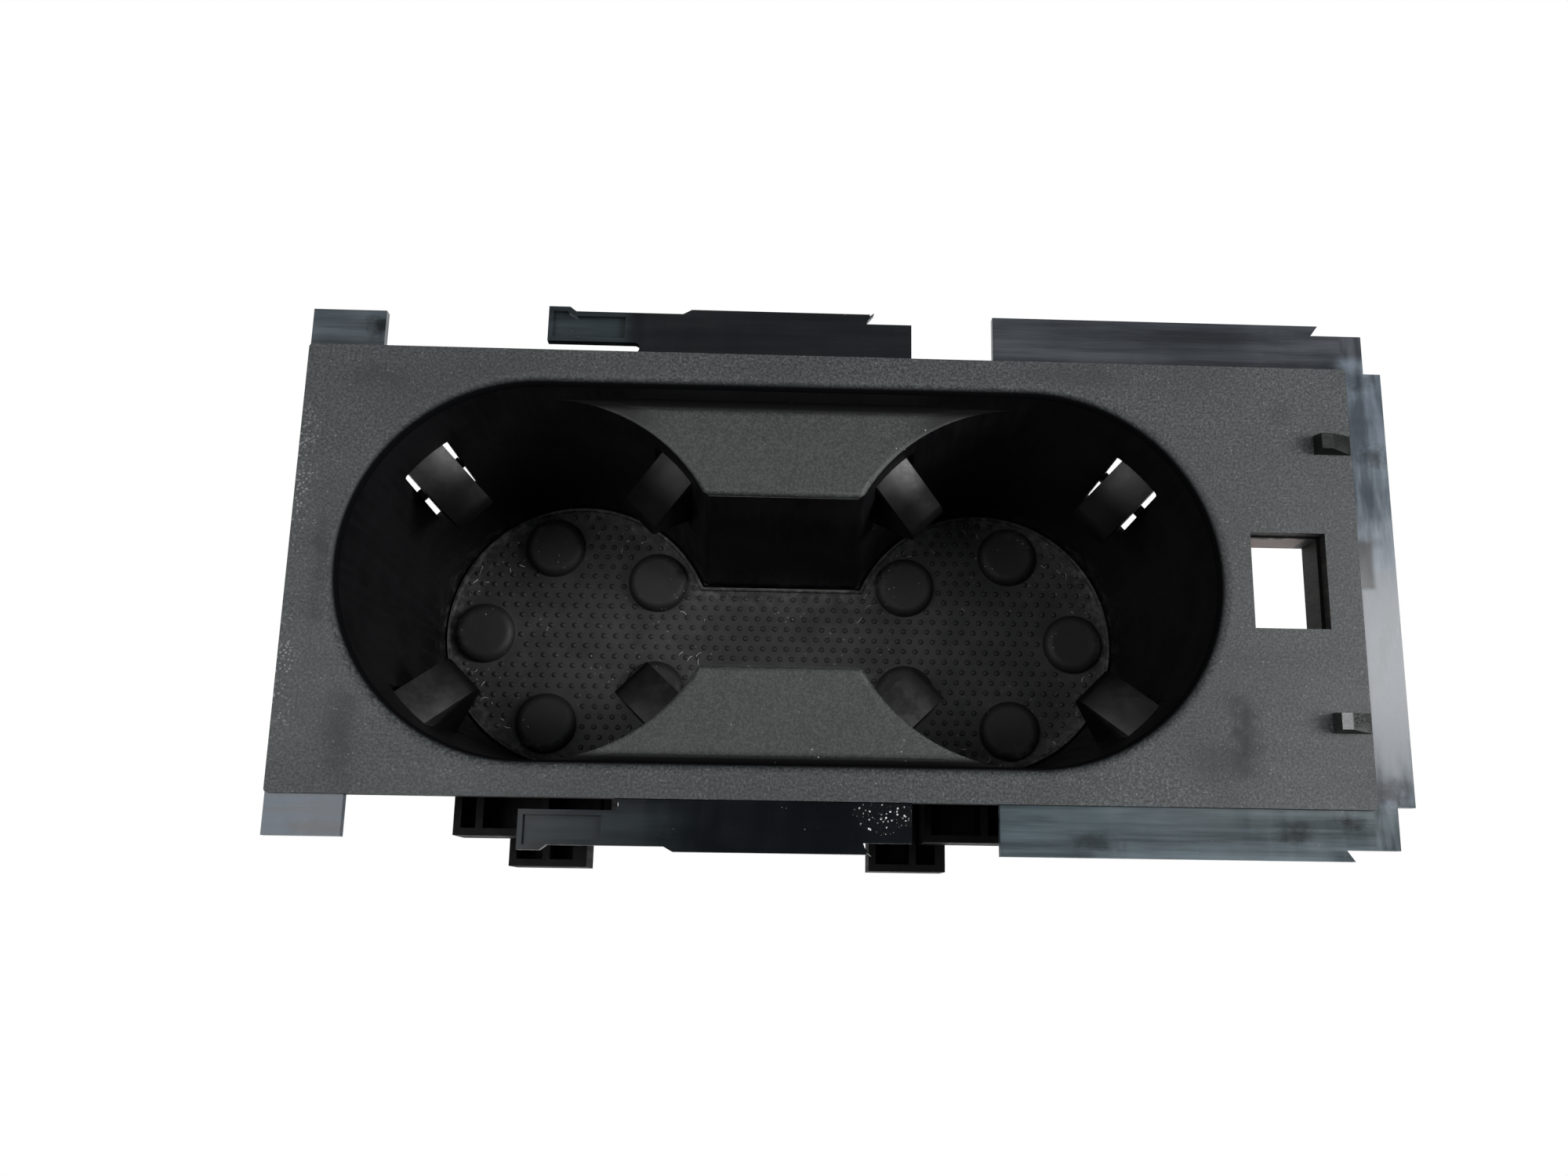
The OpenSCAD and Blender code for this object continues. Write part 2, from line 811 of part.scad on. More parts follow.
module wire(route) {
    count = len(route);
    points = [for (i = [0 : count - 1]) each wire_ring(route, i)];
    sides = [
        for (i = [0 : count - 2], k = [0 : wire_sides - 1])
            let (a = i * wire_sides + k, b = i * wire_sides + (k + 1) % wire_sides)
            [a, b, b + wire_sides, a + wire_sides]
    ];
    first = [for (k = [wire_sides - 1 : -1 : 0]) k];
    last = [for (k = [0 : wire_sides - 1]) (count - 1) * wire_sides + k];
    polyhedron(points, concat(sides, [first, last]), convexity = 8);
}

module grip_spring(side, place) {
    color([0.6, 0.61, 0.63])
        at_grip(side, place)
            wire(wire_route);
}

housing();
rubber_mat();
grip_flap(LEFT, OUTER_BACK);  // flap_left_outer_back
grip_flap(LEFT, INNER_BACK);  // flap_left_inner_back
grip_flap(LEFT, INNER_FRONT);  // flap_left_inner_front
grip_flap(LEFT, OUTER_FRONT);  // flap_left_outer_front
grip_flap(RIGHT, OUTER_BACK);  // flap_right_outer_back
grip_flap(RIGHT, INNER_BACK);  // flap_right_inner_back
grip_flap(RIGHT, INNER_FRONT);  // flap_right_inner_front
grip_flap(RIGHT, OUTER_FRONT);  // flap_right_outer_front
grip_pin(LEFT, OUTER_BACK);  // pin_left_outer_back
grip_pin(LEFT, INNER_BACK);  // pin_left_inner_back
grip_pin(LEFT, INNER_FRONT);  // pin_left_inner_front
grip_pin(LEFT, OUTER_FRONT);  // pin_left_outer_front
grip_pin(RIGHT, OUTER_BACK);  // pin_right_outer_back
grip_pin(RIGHT, INNER_BACK);  // pin_right_inner_back
grip_pin(RIGHT, INNER_FRONT);  // pin_right_inner_front
grip_pin(RIGHT, OUTER_FRONT);  // pin_right_outer_front
grip_spring(LEFT, OUTER_BACK);  // spring_left_outer_back
grip_spring(LEFT, INNER_BACK);  // spring_left_inner_back
grip_spring(LEFT, INNER_FRONT);  // spring_left_inner_front
grip_spring(LEFT, OUTER_FRONT);  // spring_left_outer_front
grip_spring(RIGHT, OUTER_BACK);  // spring_right_outer_back
grip_spring(RIGHT, INNER_BACK);  // spring_right_inner_back
grip_spring(RIGHT, INNER_FRONT);  // spring_right_inner_front
grip_spring(RIGHT, OUTER_FRONT);  // spring_right_outer_front
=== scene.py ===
"""Looks of a double cup holder insert for a car's centre console.

The solids come from the frame. This script softens their edges, lays the grain, satin and
gloss finishes on them, and adds the studs of the rubber mat, the wound springs, and the dust,
lint and residue that lie on the part. Sizes are in millimetres and are turned to metres once,
where a mesh is made.
"""
import logging
import math
from dataclasses import dataclass
from enum import Enum
from typing import Iterator, Optional, Sequence, Union

import bmesh
import bpy
import numpy as np
from mathutils import Euler, Matrix, Vector


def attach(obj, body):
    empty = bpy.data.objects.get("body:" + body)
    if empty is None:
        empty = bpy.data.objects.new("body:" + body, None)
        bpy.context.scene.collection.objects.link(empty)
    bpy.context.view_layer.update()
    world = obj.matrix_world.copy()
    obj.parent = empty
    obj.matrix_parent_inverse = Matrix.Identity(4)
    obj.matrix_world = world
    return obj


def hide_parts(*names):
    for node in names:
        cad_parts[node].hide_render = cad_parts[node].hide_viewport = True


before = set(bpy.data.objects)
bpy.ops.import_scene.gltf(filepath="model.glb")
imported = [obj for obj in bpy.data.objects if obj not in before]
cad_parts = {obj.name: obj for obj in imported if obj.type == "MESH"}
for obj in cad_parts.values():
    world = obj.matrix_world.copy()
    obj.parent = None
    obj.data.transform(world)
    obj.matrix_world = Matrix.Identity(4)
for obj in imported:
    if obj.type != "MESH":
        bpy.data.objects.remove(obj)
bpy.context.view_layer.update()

MM = 0.001
FLAT_FACE = 0.9998
SENSOR_WIDTH = 36.0
MARK_DEPTH = 0.2
JOIN_ANGLE = 0.35
Array = np.ndarray
Surface = tuple[Array, Array]
Material = bpy.types.Material
Socket = bpy.types.NodeSocket
Value = Union[Socket, float]
Term = Union[Value, Sequence[float]]
Colour = tuple[float, float, float]
Paint = Union[Socket, Colour]
Point = tuple[float, float, float]
Span = tuple[float, float]

log = logging.getLogger("cup_holder")


class Side(Enum):
    """The two cups, by their sign along x."""

    LEFT = -1
    RIGHT = 1


class Place(Enum):
    """The four flaps round a cup: whether it is an outer one, and its sign along y."""

    OUTER_BACK = (True, 1)
    INNER_BACK = (False, 1)
    INNER_FRONT = (False, -1)
    OUTER_FRONT = (True, -1)


class Zone(Enum):
    """The stretches of the housing that carry different finishes."""

    PLATE = 0
    FLANGE = 1
    WELL = 2
    SHELF = 3
    UNDERSIDE = 4
    HOOK = 5
    DUCT = 6


@dataclass(frozen=True)
class Sizes:
    """Driving sizes of the holder, in millimetres, as the solids have them."""

    top: float = 77.0
    floor: float = 2.5
    mat_top: float = 4.5
    cup_x: float = 50.2
    cup_top_r: float = 38.8
    cup_floor_r: float = 33.4
    cup_depth: float = 74.5
    plate_right: float = 117.6
    plate_half: float = 46.0
    flange_step: float = 0.8
    shelf_depth: float = 8.4
    neck_floor_half: float = 13.4
    pad_ring_r: float = 23.5
    pad_r: float = 7.4
    pads: int = 5
    pivot_r: float = 42.713
    pivot_z: float = 58.4
    grip_angle: float = 45.0

    def cup_r(self, z: Union[float, Array]) -> Union[float, Array]:
        """Return the radius of a cup's wall at height z."""
        return self.cup_floor_r + (self.cup_top_r - self.cup_floor_r) / self.cup_depth * (z - self.floor)

    def grip_turn(self, side: Side, place: Place) -> float:
        """Return the angle of one flap round its cup, in degrees from the x axis.

        Args:
            side: The cup.
            place: The flap's place on it.

        Returns:
            The angle in degrees, turned from +x towards +y.
        """
        outer, sign = place.value
        turn = self.grip_angle if outer == (side is Side.RIGHT) else 180.0 - self.grip_angle
        return sign * turn

    def pad_centres(self) -> Array:
        """Return the centres of all round pads as an array of x and y."""
        turns = np.radians(360.0 / self.pads * np.arange(self.pads))
        ring = self.pad_ring_r * np.stack([np.cos(turns), np.sin(turns)], axis=1)
        right = ring + (self.cup_x, 0.0)
        left = -ring * (1.0, -1.0) - (self.cup_x, 0.0)
        return np.concatenate([left, right])


SIZES = Sizes()


@dataclass(frozen=True)
class Mark:
    """A soft ragged spot on an upper face: its centre, its radius and its strength.

    The distance from the centre is multiplied by a factor along each axis, so a factor below
    1 draws the spot out.
    """

    x: float
    y: float
    radius: float
    squeeze_x: float
    squeeze_y: float
    amount: float


@dataclass(frozen=True)
class Patch:
    """A rectangle with faded edges on an upper face, with a colour or a strength."""

    x: Span
    y: Span
    fade: float
    paint: Union[Colour, float]


class NodeTree:
    """A material under construction, with short calls for the nodes that the finishes use."""

    def __init__(self, name: str) -> None:
        """Start an empty material with a principled shader and its object coordinates."""
        self.material = bpy.data.materials.new(name)
        self.material.use_nodes = True
        self.tree = self.material.node_tree
        self.tree.nodes.clear()
        self.shader = self.new("BsdfPrincipled")
        self.new("OutputMaterial", Surface=self.shader.outputs["BSDF"])
        self.coordinates = self.new("TexCoord").outputs["Object"]
        axes = self.new("SeparateXYZ", Vector=self.coordinates)
        self.x, self.y, self.z = (axes.outputs[name] for name in "XYZ")

    def new(self, kind: str, **inputs: Term) -> bpy.types.Node:
        """Add a shader node of one kind and fill its named inputs."""
        node = self.tree.nodes.new("ShaderNode" + kind)
        for name, value in inputs.items():
            self.put(node.inputs[name], value)
        return node

    def put(self, socket: Socket, value: Term) -> None:
        """Link a socket to another node's output, or set its value.

        Args:
            socket: The input to fill.
            value: An output socket, a number, or a vector or colour.
        """
        if isinstance(value, bpy.types.NodeSocket):
            self.tree.links.new(value, socket)
        elif isinstance(value, (tuple, list)) and len(value) == 3 and socket.type == "RGBA":
            socket.default_value = (*value, 1.0)
        else:
            socket.default_value = value

    def scaled(self, scale: Sequence[float]) -> Socket:
        """Return the object coordinates stretched by three factors."""
        return self.new("Mapping", Vector=self.coordinates, Scale=scale).outputs["Vector"]

    def noise(self, size: float, detail: float = 3.0, rough: float = 0.5,
              stretch: Sequence[float] = (1.0, 1.0, 1.0)) -> Socket:
        """Return soft noise from 0 to 1 with features of one size.

        Args:
            size: Size of the largest features in millimetres.
            detail: Number of finer layers.
            rough: Strength of the finer layers.
            stretch: Factors on the coordinates, below 1 to draw the noise out along an axis.

        Returns:
            The noise value's socket.
        """
        node = self.new("TexNoise", Vector=self.scaled(stretch), Scale=1.0 / (size * MM),
                        Detail=detail, Roughness=rough)
        return node.outputs["Fac"]

    def cells(self, size: float, feature: str = "F1") -> Socket:
        """Return the distance to scattered points, one in each cell.

        Args:
            size: Size of a cell in millimetres.
            feature: The node's word for the distance that is meant.

        Returns:
            The distance's socket.
        """
        node = self.new("TexVoronoi", Vector=self.coordinates, Scale=1.0 / (size * MM))
        node.feature = feature
        return node.outputs["Distance"]

    def operate(self, kind: str, operation: str, terms: Sequence[Term]) -> bpy.types.Node:
        """Add a node for one sum and fill its inputs in order.

        Args:
            kind: The kind of node.
            operation: The sum.
            terms: What goes into it.

        Returns:
            The node.
        """
        node = self.new(kind)
        node.operation = operation
        for socket, term in zip(node.inputs, terms):
            self.put(socket, term)
        return node

    def maths(self, operation: str, *terms: Value) -> Socket:
        """Return the result of one sum on one or two values."""
        return self.operate("Math", operation, terms).outputs["Value"]

    def times(self, first: Value, second: Value) -> Socket:
        """Return the product of two values."""
        return self.maths("MULTIPLY", first, second)

    def plus(self, first: Value, second: Value) -> Socket:
        """Return the sum of two values."""
        return self.maths("ADD", first, second)

    def minus(self, first: Value, second: Value) -> Socket:
        """Return the difference of two values."""
        return self.maths("SUBTRACT", first, second)

    def vector_maths(self, operation: str, *terms: Term, result: str = "Vector") -> Socket:
        """Return the result of one sum on one or two vectors."""
        return self.operate("VectorMath", operation, terms).outputs[result]

    def band(self, value: Socket, low: float, high: float,
             start: float = 0.0, end: float = 1.0) -> Socket:
        """Return a value that runs smoothly from start to end between two limits of the input.

        Args:
            value: The input.
            low: The input at which the result is start.
            high: The input at which the result is end.
            start: The result at low and past it.
            end: The result at high and past it.

        Returns:
            The result's socket.
        """
        node = self.new("MapRange", **{"Value": value, "From Min": low, "From Max": high,
                                       "To Min": start, "To Max": end})
        node.interpolation_type = "SMOOTHSTEP"
        return node.outputs["Result"]

    def rise(self, value: Socket, low: float, high: float,
             start: float = 0.0, end: float = 1.0) -> Socket:
        """Return a band between two limits that are given in millimetres."""
        return self.band(value, low * MM, high * MM, start, end)

    def mid(self, value: Socket, start: float, end: float) -> Socket:
        """Return a band over the middle of a noise value's range."""
        return self.band(value, 0.3, 0.7, start, end)

    def specks(self, size: float, reach: Span, patch: float, level: Span) -> Socket:
        """Return small dots, at most one in each cell, shown only where soft noise is high.

        Args:
            size: Size of the cells in millimetres.
            reach: Distances from a cell's point at which its dot is 0 and 1.
            patch: Size of the noise in millimetres.
            level: Noise values at which the dots are 0 and 1.

        Returns:
            The mask's socket.
        """
        return self.times(self.band(self.cells(size), *reach), self.band(self.noise(patch, 2.0), *level))

    def area(self, patch: Patch) -> Socket:
        """Return a mask that is 1 inside a patch and fades out along its edges.

        Args:
            patch: The patch.

        Returns:
            The mask's socket.
        """
        mask: Value = 1.0
        for value, (low, high) in ((self.x, patch.x), (self.y, patch.y)):
            for start, end in ((low, low + patch.fade), (high, high - patch.fade)):
                mask = self.times(self.rise(value, start, end), mask)
        return mask

    def blend(self, factor: Value, first: Paint, second: Paint) -> Socket:
        """Return a colour between two colours.

        Args:
            factor: 0 for the first colour, 1 for the second one.
            first: The first colour.
            second: The second colour.

        Returns:
            The colour's socket.
        """
        node = self.new("Mix")
        node.data_type = "RGBA"
        self.put(node.inputs["Factor"], factor)
        self.put(node.inputs["A"], first)
        self.put(node.inputs["B"], second)
        return node.outputs["Result"]

    def spot(self, mark: Mark, height: float, ragged: float = 0.35) -> Socket:
        """Return a mask of a mark that falls from its amount at the centre to 0 at its radius.

        Args:
            mark: The mark.
            height: Height of the face that it lies on, in millimetres.
            ragged: How far noise eats into the edge.

        Returns:
            The mask's socket.
        """
        centre = [value * MM for value in (mark.x, mark.y, height)]
        away = self.vector_maths("SUBTRACT", self.coordinates, centre)
        squeezed = self.vector_maths("MULTIPLY", away, (mark.squeeze_x, mark.squeeze_y, MARK_DEPTH))
        length = self.vector_maths("LENGTH", squeezed, result="Value")
        near = self.maths("DIVIDE", length, mark.radius * MM)
        noise = self.mid(self.noise(mark.radius * 0.7, 5.0, 0.7), -ragged, ragged)
        return self.times(self.band(self.plus(near, noise), 0.0, 1.0, 1.0, 0.0), mark.amount)

    def bump(self, height: Socket, depth: float, strength: float = 1.0,
             under: Optional[Socket] = None) -> Socket:
        """Return a normal bent by a height field.

        Args:
            height: The height field, from 0 to 1.
            depth: Height that 1 stands for, in millimetres.
            strength: Share of the bend that is kept.
            under: Another bent normal that this one is laid over.

        Returns:
            The normal's socket.
        """
        node = self.new("Bump", Strength=strength, Distance=depth * MM, Height=height)
        if under is not None:
            self.put(node.inputs["Normal"], under)
        return node.outputs["Normal"]

    def sheen(self, level: Value) -> None:
        """Set how strongly the surface mirrors light."""
        self.put(self.shader.inputs["Specular IOR Level"], level)

    def finish(self, colour: Socket, roughness: Socket, normal: Socket) -> Material:
        """Fill the shader's main inputs.

        Args:
            colour: The base colour.
            roughness: The roughness.
            normal: The bent normal.

        Returns:
            The material.
        """
        self.put(self.shader.inputs["Base Color"], colour)
        self.put(self.shader.inputs["Roughness"], roughness)
        self.put(self.shader.inputs["Normal"], normal)
        return self.material


@dataclass(frozen=True)
class GrainedPlastic:
    """Charcoal plastic with a fine eroded grain, faint painted glints and rubbed smudges."""

    name: str = "grained_charcoal_plastic"
    tint: Colour = (0.0105, 0.0117, 0.0122)
    worn: Colour = (0.083, 0.0915, 0.0930)
    # Near black of the painted shade down the rim.
    rim: Colour = (0.0035, 0.0036, 0.0040)
    grain: float = 0.52
    grain_depth: float = 0.05
    gloss: float = 0.5
    stains: tuple[Mark, ...] = (
        Mark(92.0, -31.0, 7.5, 1.6, 0.8, 1.0),
        Mark(89.0, -38.0, 9.0, 0.9, 1.5, 0.5),
        Mark(103.0, 36.0, 4.5, 1.0, 1.2, 0.45),
        Mark(62.0, 43.0, 8.0, 0.5, 1.5, 0.4),
        Mark(-85.0, -35.0, 9.0, 1.9, 0.6, 0.55),
        Mark(-92.0, 0.0, 6.0, 2.6, 0.35, 0.5),
        Mark(-86.0, 39.0, 7.0, 0.6, 1.6, 0.35),
        Mark(0.0, -44.0, 26.0, 0.5, 3.0, 0.22),
    )
    scuffs: tuple[Mark, ...] = (
        Mark(-97.5, 18.0, 8.0, 2.2, 0.45, 0.9),
        Mark(-97.5, -20.0, 8.0, 1.8, 0.45, 0.9),
        Mark(70.0, -44.0, 9.0, 0.35, 1.4, 0.3),
        Mark(-70.0, -42.0, 8.0, 0.5, 1.3, 0.2),
    )

    def build(self) -> Material:
        """Build the material: contrasty fine grain with painted glints, painted shade down the rim, with
        stains and scuffs.
        """
        tree = NodeTree(self.name)
        fine = tree.noise(self.grain, 3.0, 0.72)
        cell = tree.cells(self.grain * 0.8, "SMOOTH_F1")
        cloud = tree.noise(24.0, 4.0, 0.6)
        wipe = tree.noise(9.0, 3.0, 0.6, (0.3, 1.0, 1.0))
        # Painted glints: sparse bright specks in the colour that stand for light caught by the grain.
        painted_glints = tree.specks(0.9, (0.24, 0.10), 2.2, (0.52, 0.66))
        tone = tree.blend(tree.band(fine, 0.33, 0.72), self.tint, self.worn)
        mottled = tree.blend(tree.band(cell, 0.2, 0.7, 0.35, 0.0), tone, self.tint)
        shaded = tree.blend(tree.band(cloud, 0.35, 0.7, 0.0, 0.3), mottled, self.tint)
        rough = tree.plus(tree.mid(fine, self.gloss, self.gloss + 0.14),
                           tree.band(wipe, 0.35, 0.7, -0.03, 0.05))
        for stain in self.stains:
            mask = tree.spot(stain, SIZES.top)
            shaded = tree.blend(mask, shaded, (0.009, 0.0097, 0.011))
            rough = tree.plus(rough, tree.times(mask, 0.1))
        glitter = tree.band(tree.cells(0.7), 0.42, 0.15)
        for scuff in self.scuffs:
            mask = tree.spot(scuff, SIZES.top, 0.5)
            shaded = tree.blend(tree.times(mask, glitter), shaded, (0.20, 0.21, 0.21))
        colour = tree.blend(tree.times(painted_glints, 0.5), shaded, (0.22, 0.23, 0.23))
        # Painted shade: the colour goes near black down the rim's rounding into the cups, where shade
        # falls.
        level = tree.rise(tree.z, SIZES.top - 0.95, SIZES.top - 0.06)
        colour = tree.blend(level, self.rim, colour)
        relief = tree.plus(fine, tree.times(cell, 0.5))
        tree.sheen(tree.times(level, 0.45))
        return tree.finish(colour, rough, tree.bump(relief, self.grain_depth, 0.8))


@dataclass(frozen=True)
class ShelfPlastic:
    """The same charcoal plastic on the shelves, finer grained, with settled dust specks and painted
    shade at the wall and over the far tips.
    """

    name: str = "dusty_shelf_plastic"
    tint: Colour = (0.0125, 0.0138, 0.0132)
    dust: Colour = (0.42, 0.43, 0.43)
    root_start: float = 35.4
    root_end: float = 37.4
    tip_start: float = 24.0
    tip_end: float = 34.0

    def build(self) -> Material:
        """Build the material: fine grain, thin scattered specks, and painted shade along the root at the
        wall and over the far tips.
        """
        tree = NodeTree(self.name)
        fine = tree.noise(0.45, 4.0, 0.7)
        haze = tree.noise(16.0, 4.0, 0.6)
        base = tree.blend(tree.band(haze, 0.35, 0.7, 0.0, 0.5), self.tint, (0.021, 0.0226, 0.0218))
        grain = tree.blend(tree.band(fine, 0.38, 0.66, 0.0, 0.8), base, (0.055, 0.0578, 0.0562))
        away = tree.maths("ABSOLUTE", tree.y)
        # Painted shadow over the far shelf's tips, by the upper wall.
        outward = tree.rise(tree.maths("ABSOLUTE", tree.x), self.tip_start, self.tip_end)
        tip = tree.times(outward, tree.rise(tree.y, 0.0, 5.0))
        # Painted shade along the root at the upper wall, joined with the painted shadow over the far
        # tips.
        root = tree.maths("MAXIMUM", tree.rise(away, self.root_start, self.root_end), tip)
        # The shelf goes near black under this painted shade.
        grain = tree.blend(root, grain, (0.0035, 0.0034, 0.0036))
        colour = tree.blend(tree.specks(1.9, (0.085, 0.045), 6.0, (0.54, 0.66)), grain, self.dust)
        rough = tree.mid(fine, 0.52, 0.66)
        tree.sheen(tree.rise(away, self.root_end, self.root_start, 0.05, 0.45))
        return tree.finish(colour, rough, tree.bump(fine, 0.035, 0.8))


@dataclass(frozen=True)
class SatinFlange:
    """Smooth bluish-black flange with painted reflections in places, flow marks and fine scratches."""

    name: str = "satin_blue_black_flange"
    tint: Colour = (0.0010, 0.0016, 0.0026)
    haze: Colour = (0.0030, 0.0040, 0.0054)
    gloss: float = 0.5
    # Painted reflections: pale patches standing for lamps and room mirrored in the glossy flange,
    # brightest on the right end.
    painted_reflections: tuple[Patch, ...] = (
        Patch((-101.0, -78.0), (44.0, 60.0), 3.0, (0.074, 0.090, 0.102)),
        Patch((-101.0, -78.0), (-60.0, -44.0), 3.0, (0.012, 0.036, 0.066)),
        Patch((-55.0, -31.0), (45.0, 60.0), 5.0, (0.024, 0.033, 0.038)),
        Patch((-58.0, -12.0), (-60.0, -44.0), 14.0, (0.030, 0.044, 0.050)),
        Patch((-31.0, 31.0), (44.0, 60.0), 3.0, (0.0075, 0.0085, 0.0095)),
        Patch((40.0, 125.0), (44.0, 60.0), 4.0, (0.054, 0.059, 0.068)),
        Patch((40.0, 125.0), (-60.0, -43.0), 4.0, (0.078, 0.104, 0.116)),
        Patch((115.0, 130.0), (-47.0, 50.0), 3.0, (0.145, 0.175, 0.210)),
        Patch((116.0, 130.0), (-42.0, 4.0), 3.0, (0.130, 0.140, 0.150)),
        Patch((60.0, 110.0), (-60.0, -52.5), 3.0, (0.095, 0.122, 0.136)),
    )
    dulls: tuple[Patch, ...] = (
        Patch((-60.0, 31.0), (-60.0, -44.0), 2.0, 0.22),
    )
    # Dark patches on the right end: the first two are painted shade round its recess, the third a darker
    # blotch.
    darks: tuple[Patch, ...] = (
        Patch((116.0, 121.4), (-2.0, 9.2), 1.3, 0.93),
        Patch((116.0, 124.5), (6.5, 10.5), 2.0, 0.4),
        Patch((116.0, 127.0), (-44.0, -38.5), 3.0, 0.5),
    )
    marks: tuple[Mark, ...] = (
        Mark(121.0, -43.0, 5.0, 1.0, 1.3, 0.8),
        Mark(122.5, 27.0, 5.0, 1.0, 1.2, 0.7),
        Mark(118.5, 44.0, 6.0, 0.8, 1.2, 0.6),
        Mark(101.0, -50.5, 4.0, 0.8, 1.2, 0.7),
        Mark(112.0, -48.5, 3.4, 0.9, 1.2, 0.8),
        Mark(62.0, -53.0, 4.5, 0.7, 1.6, 0.6),
        Mark(-88.0, -52.5, 5.0, 0.5, 2.2, 0.7),
        Mark(-84.0, 50.5, 4.2, 0.9, 1.1, 0.8),
    )

    def build(self) -> Material:
        """Build the material: painted reflections by place, broken by streaks, with dull areas, painted
        shade and a blotch on the right end, and dark marks.

        The streaks run along x on the side flanges and along y on the right one.
        """
        tree = NodeTree(self.name)
        cloud = tree.noise(15.0, 3.0, 0.55, (0.35, 1.0, 1.0))
        streak = tree.noise(2.4, 4.0, 0.65, (0.05, 1.0, 1.0))
        across = tree.noise(3.0, 3.0, 0.6, (1.0, 0.2, 1.0))
        at_end = tree.rise(tree.x, SIZES.plate_right - 1.0, SIZES.plate_right)
        change = tree.times(tree.minus(across, streak), at_end)
        streak = tree.plus(streak, change)
        fine = tree.noise(0.5, 3.0, 0.6, (0.3, 1.0, 1.0))
        broken = tree.times(tree.mid(cloud, 0.55, 1.0),
                            tree.band(streak, 0.32, 0.68, 0.42, 1.0))
        colour = tree.blend(tree.band(cloud, 0.4, 0.7), self.tint, self.haze)
        # Each patch is a painted reflection, broken up by the streaks.
        for bloom in self.painted_reflections:
            colour = tree.blend(tree.times(tree.area(bloom), broken), colour, bloom.paint)
        # Painted shade round the right end's recess, and a darker blotch, laid over the painted
        # reflections.
        for dark in self.darks:
            colour = tree.blend(tree.times(tree.area(dark), dark.paint), colour, self.tint)
        for mark in self.marks:
            colour = tree.blend(tree.spot(mark, SIZES.top - SIZES.flange_step, 0.3), colour, self.tint)
        dust = tree.specks(1.6, (0.07, 0.035), 7.0, (0.55, 0.66))
        colour = tree.blend(tree.times(dust, 0.7), colour, (0.3, 0.31, 0.32))
        rough = tree.plus(tree.mid(cloud, 0.13, 0.20), tree.mid(across, -0.03, 0.03))
        rough = tree.plus(rough, tree.band(streak, 0.3, 0.75, 0.0, 0.05))
        normal = tree.bump(fine, 0.006, 0.5, tree.bump(streak, 0.02, 0.4))
        sheen: Value = self.gloss
        for dull in self.dulls:
            sheen = tree.minus(sheen, tree.times(tree.area(dull), self.gloss - dull.paint))
        tree.sheen(sheen)
        return tree.finish(colour, rough, normal)


@dataclass(frozen=True)
class WellPlastic:
    """Near-black plastic of the cup walls, satin, with faint upright draw lines and dust."""

    name: str = "black_well_plastic"
    tint: Colour = (0.0026, 0.0024, 0.0030)
    rubbed: Colour = (0.0056, 0.0054, 0.0062)
    gloss: float = 0.38
    sheen: float = 0.2

    def build(self) -> Material:
        """Build the material: upright streaks in tone and roughness, and dust near the floor."""
        tree = NodeTree(self.name)
        cloud = tree.noise(18.0, 3.0, 0.6)
        line = tree.noise(1.6, 3.0, 0.6, (1.0, 1.0, 0.05))
        fine = tree.noise(0.28, 3.0, 0.6)
        low = tree.rise(tree.z, 4.0, 16.0, 1.0, 0.0)
        base = tree.blend(tree.band(cloud, 0.35, 0.7), self.tint, self.rubbed)
        drawn = tree.blend(tree.band(line, 0.45, 0.75, 0.0, 0.5), base, self.rubbed)
        speck = tree.times(tree.band(tree.cells(1.5), 0.10, 0.05), tree.band(cloud, 0.45, 0.6))
        speck = tree.times(speck, low)
        film = tree.times(low, tree.band(tree.noise(3.0, 4.0), 0.42, 0.75, 0.0, 0.35))
        dusty = tree.blend(film, drawn, (0.05, 0.05, 0.05))
        colour = tree.blend(tree.times(speck, 0.7), dusty, (0.3, 0.3, 0.3))
        rough = tree.plus(tree.mid(line, self.gloss, self.gloss + 0.12),
                           tree.times(film, 0.5))
        normal = tree.bump(fine, 0.008, 0.7, tree.bump(line, 0.02, 0.4))
        tree.sheen(self.sheen)
        return tree.finish(colour, rough, normal)


@dataclass(frozen=True)
class HookPlastic:
    """Glossy dark plastic of the two wedge hooks, with a painted highlight on the flat tops."""

    name: str = "glossy_hook_plastic"
    top_z: Span = (80.05, 80.25)

    def build(self) -> Material:
        """Build the material: a painted highlight on the top by height, strongest on the near hook,
        which is also painted lighter all over; finely scratched.
        """
        tree = NodeTree(self.name)
        fine = tree.noise(0.4, 4.0, 0.6, (0.4, 1.0, 1.0))
        # Painted highlight on the flat tops, by height.
        top = tree.rise(tree.z, *self.top_z)
        near = tree.rise(tree.y, 6.0, -6.0)
        # Painted light: the near hook, which faces the lamp, is lighter all over.
        near_hook_painted_light = tree.blend(near, (0.007, 0.0075, 0.0065), (0.022, 0.023, 0.021))
        base = tree.blend(tree.band(fine, 0.3, 0.7), (0.005, 0.0055, 0.005), near_hook_painted_light)
        # The painted highlight is full on the near hook and faint on the far one.
        top = tree.times(top, tree.rise(tree.y, 6.0, -6.0, 0.15, 1.0))
        colour = tree.blend(top, base, (0.075, 0.078, 0.08))
        rough = tree.mid(fine, 0.2, 0.34)
        tree.sheen(tree.plus(tree.times(near, 0.3), 0.2))
        return tree.finish(colour, rough, tree.bump(fine, 0.015, 0.7))


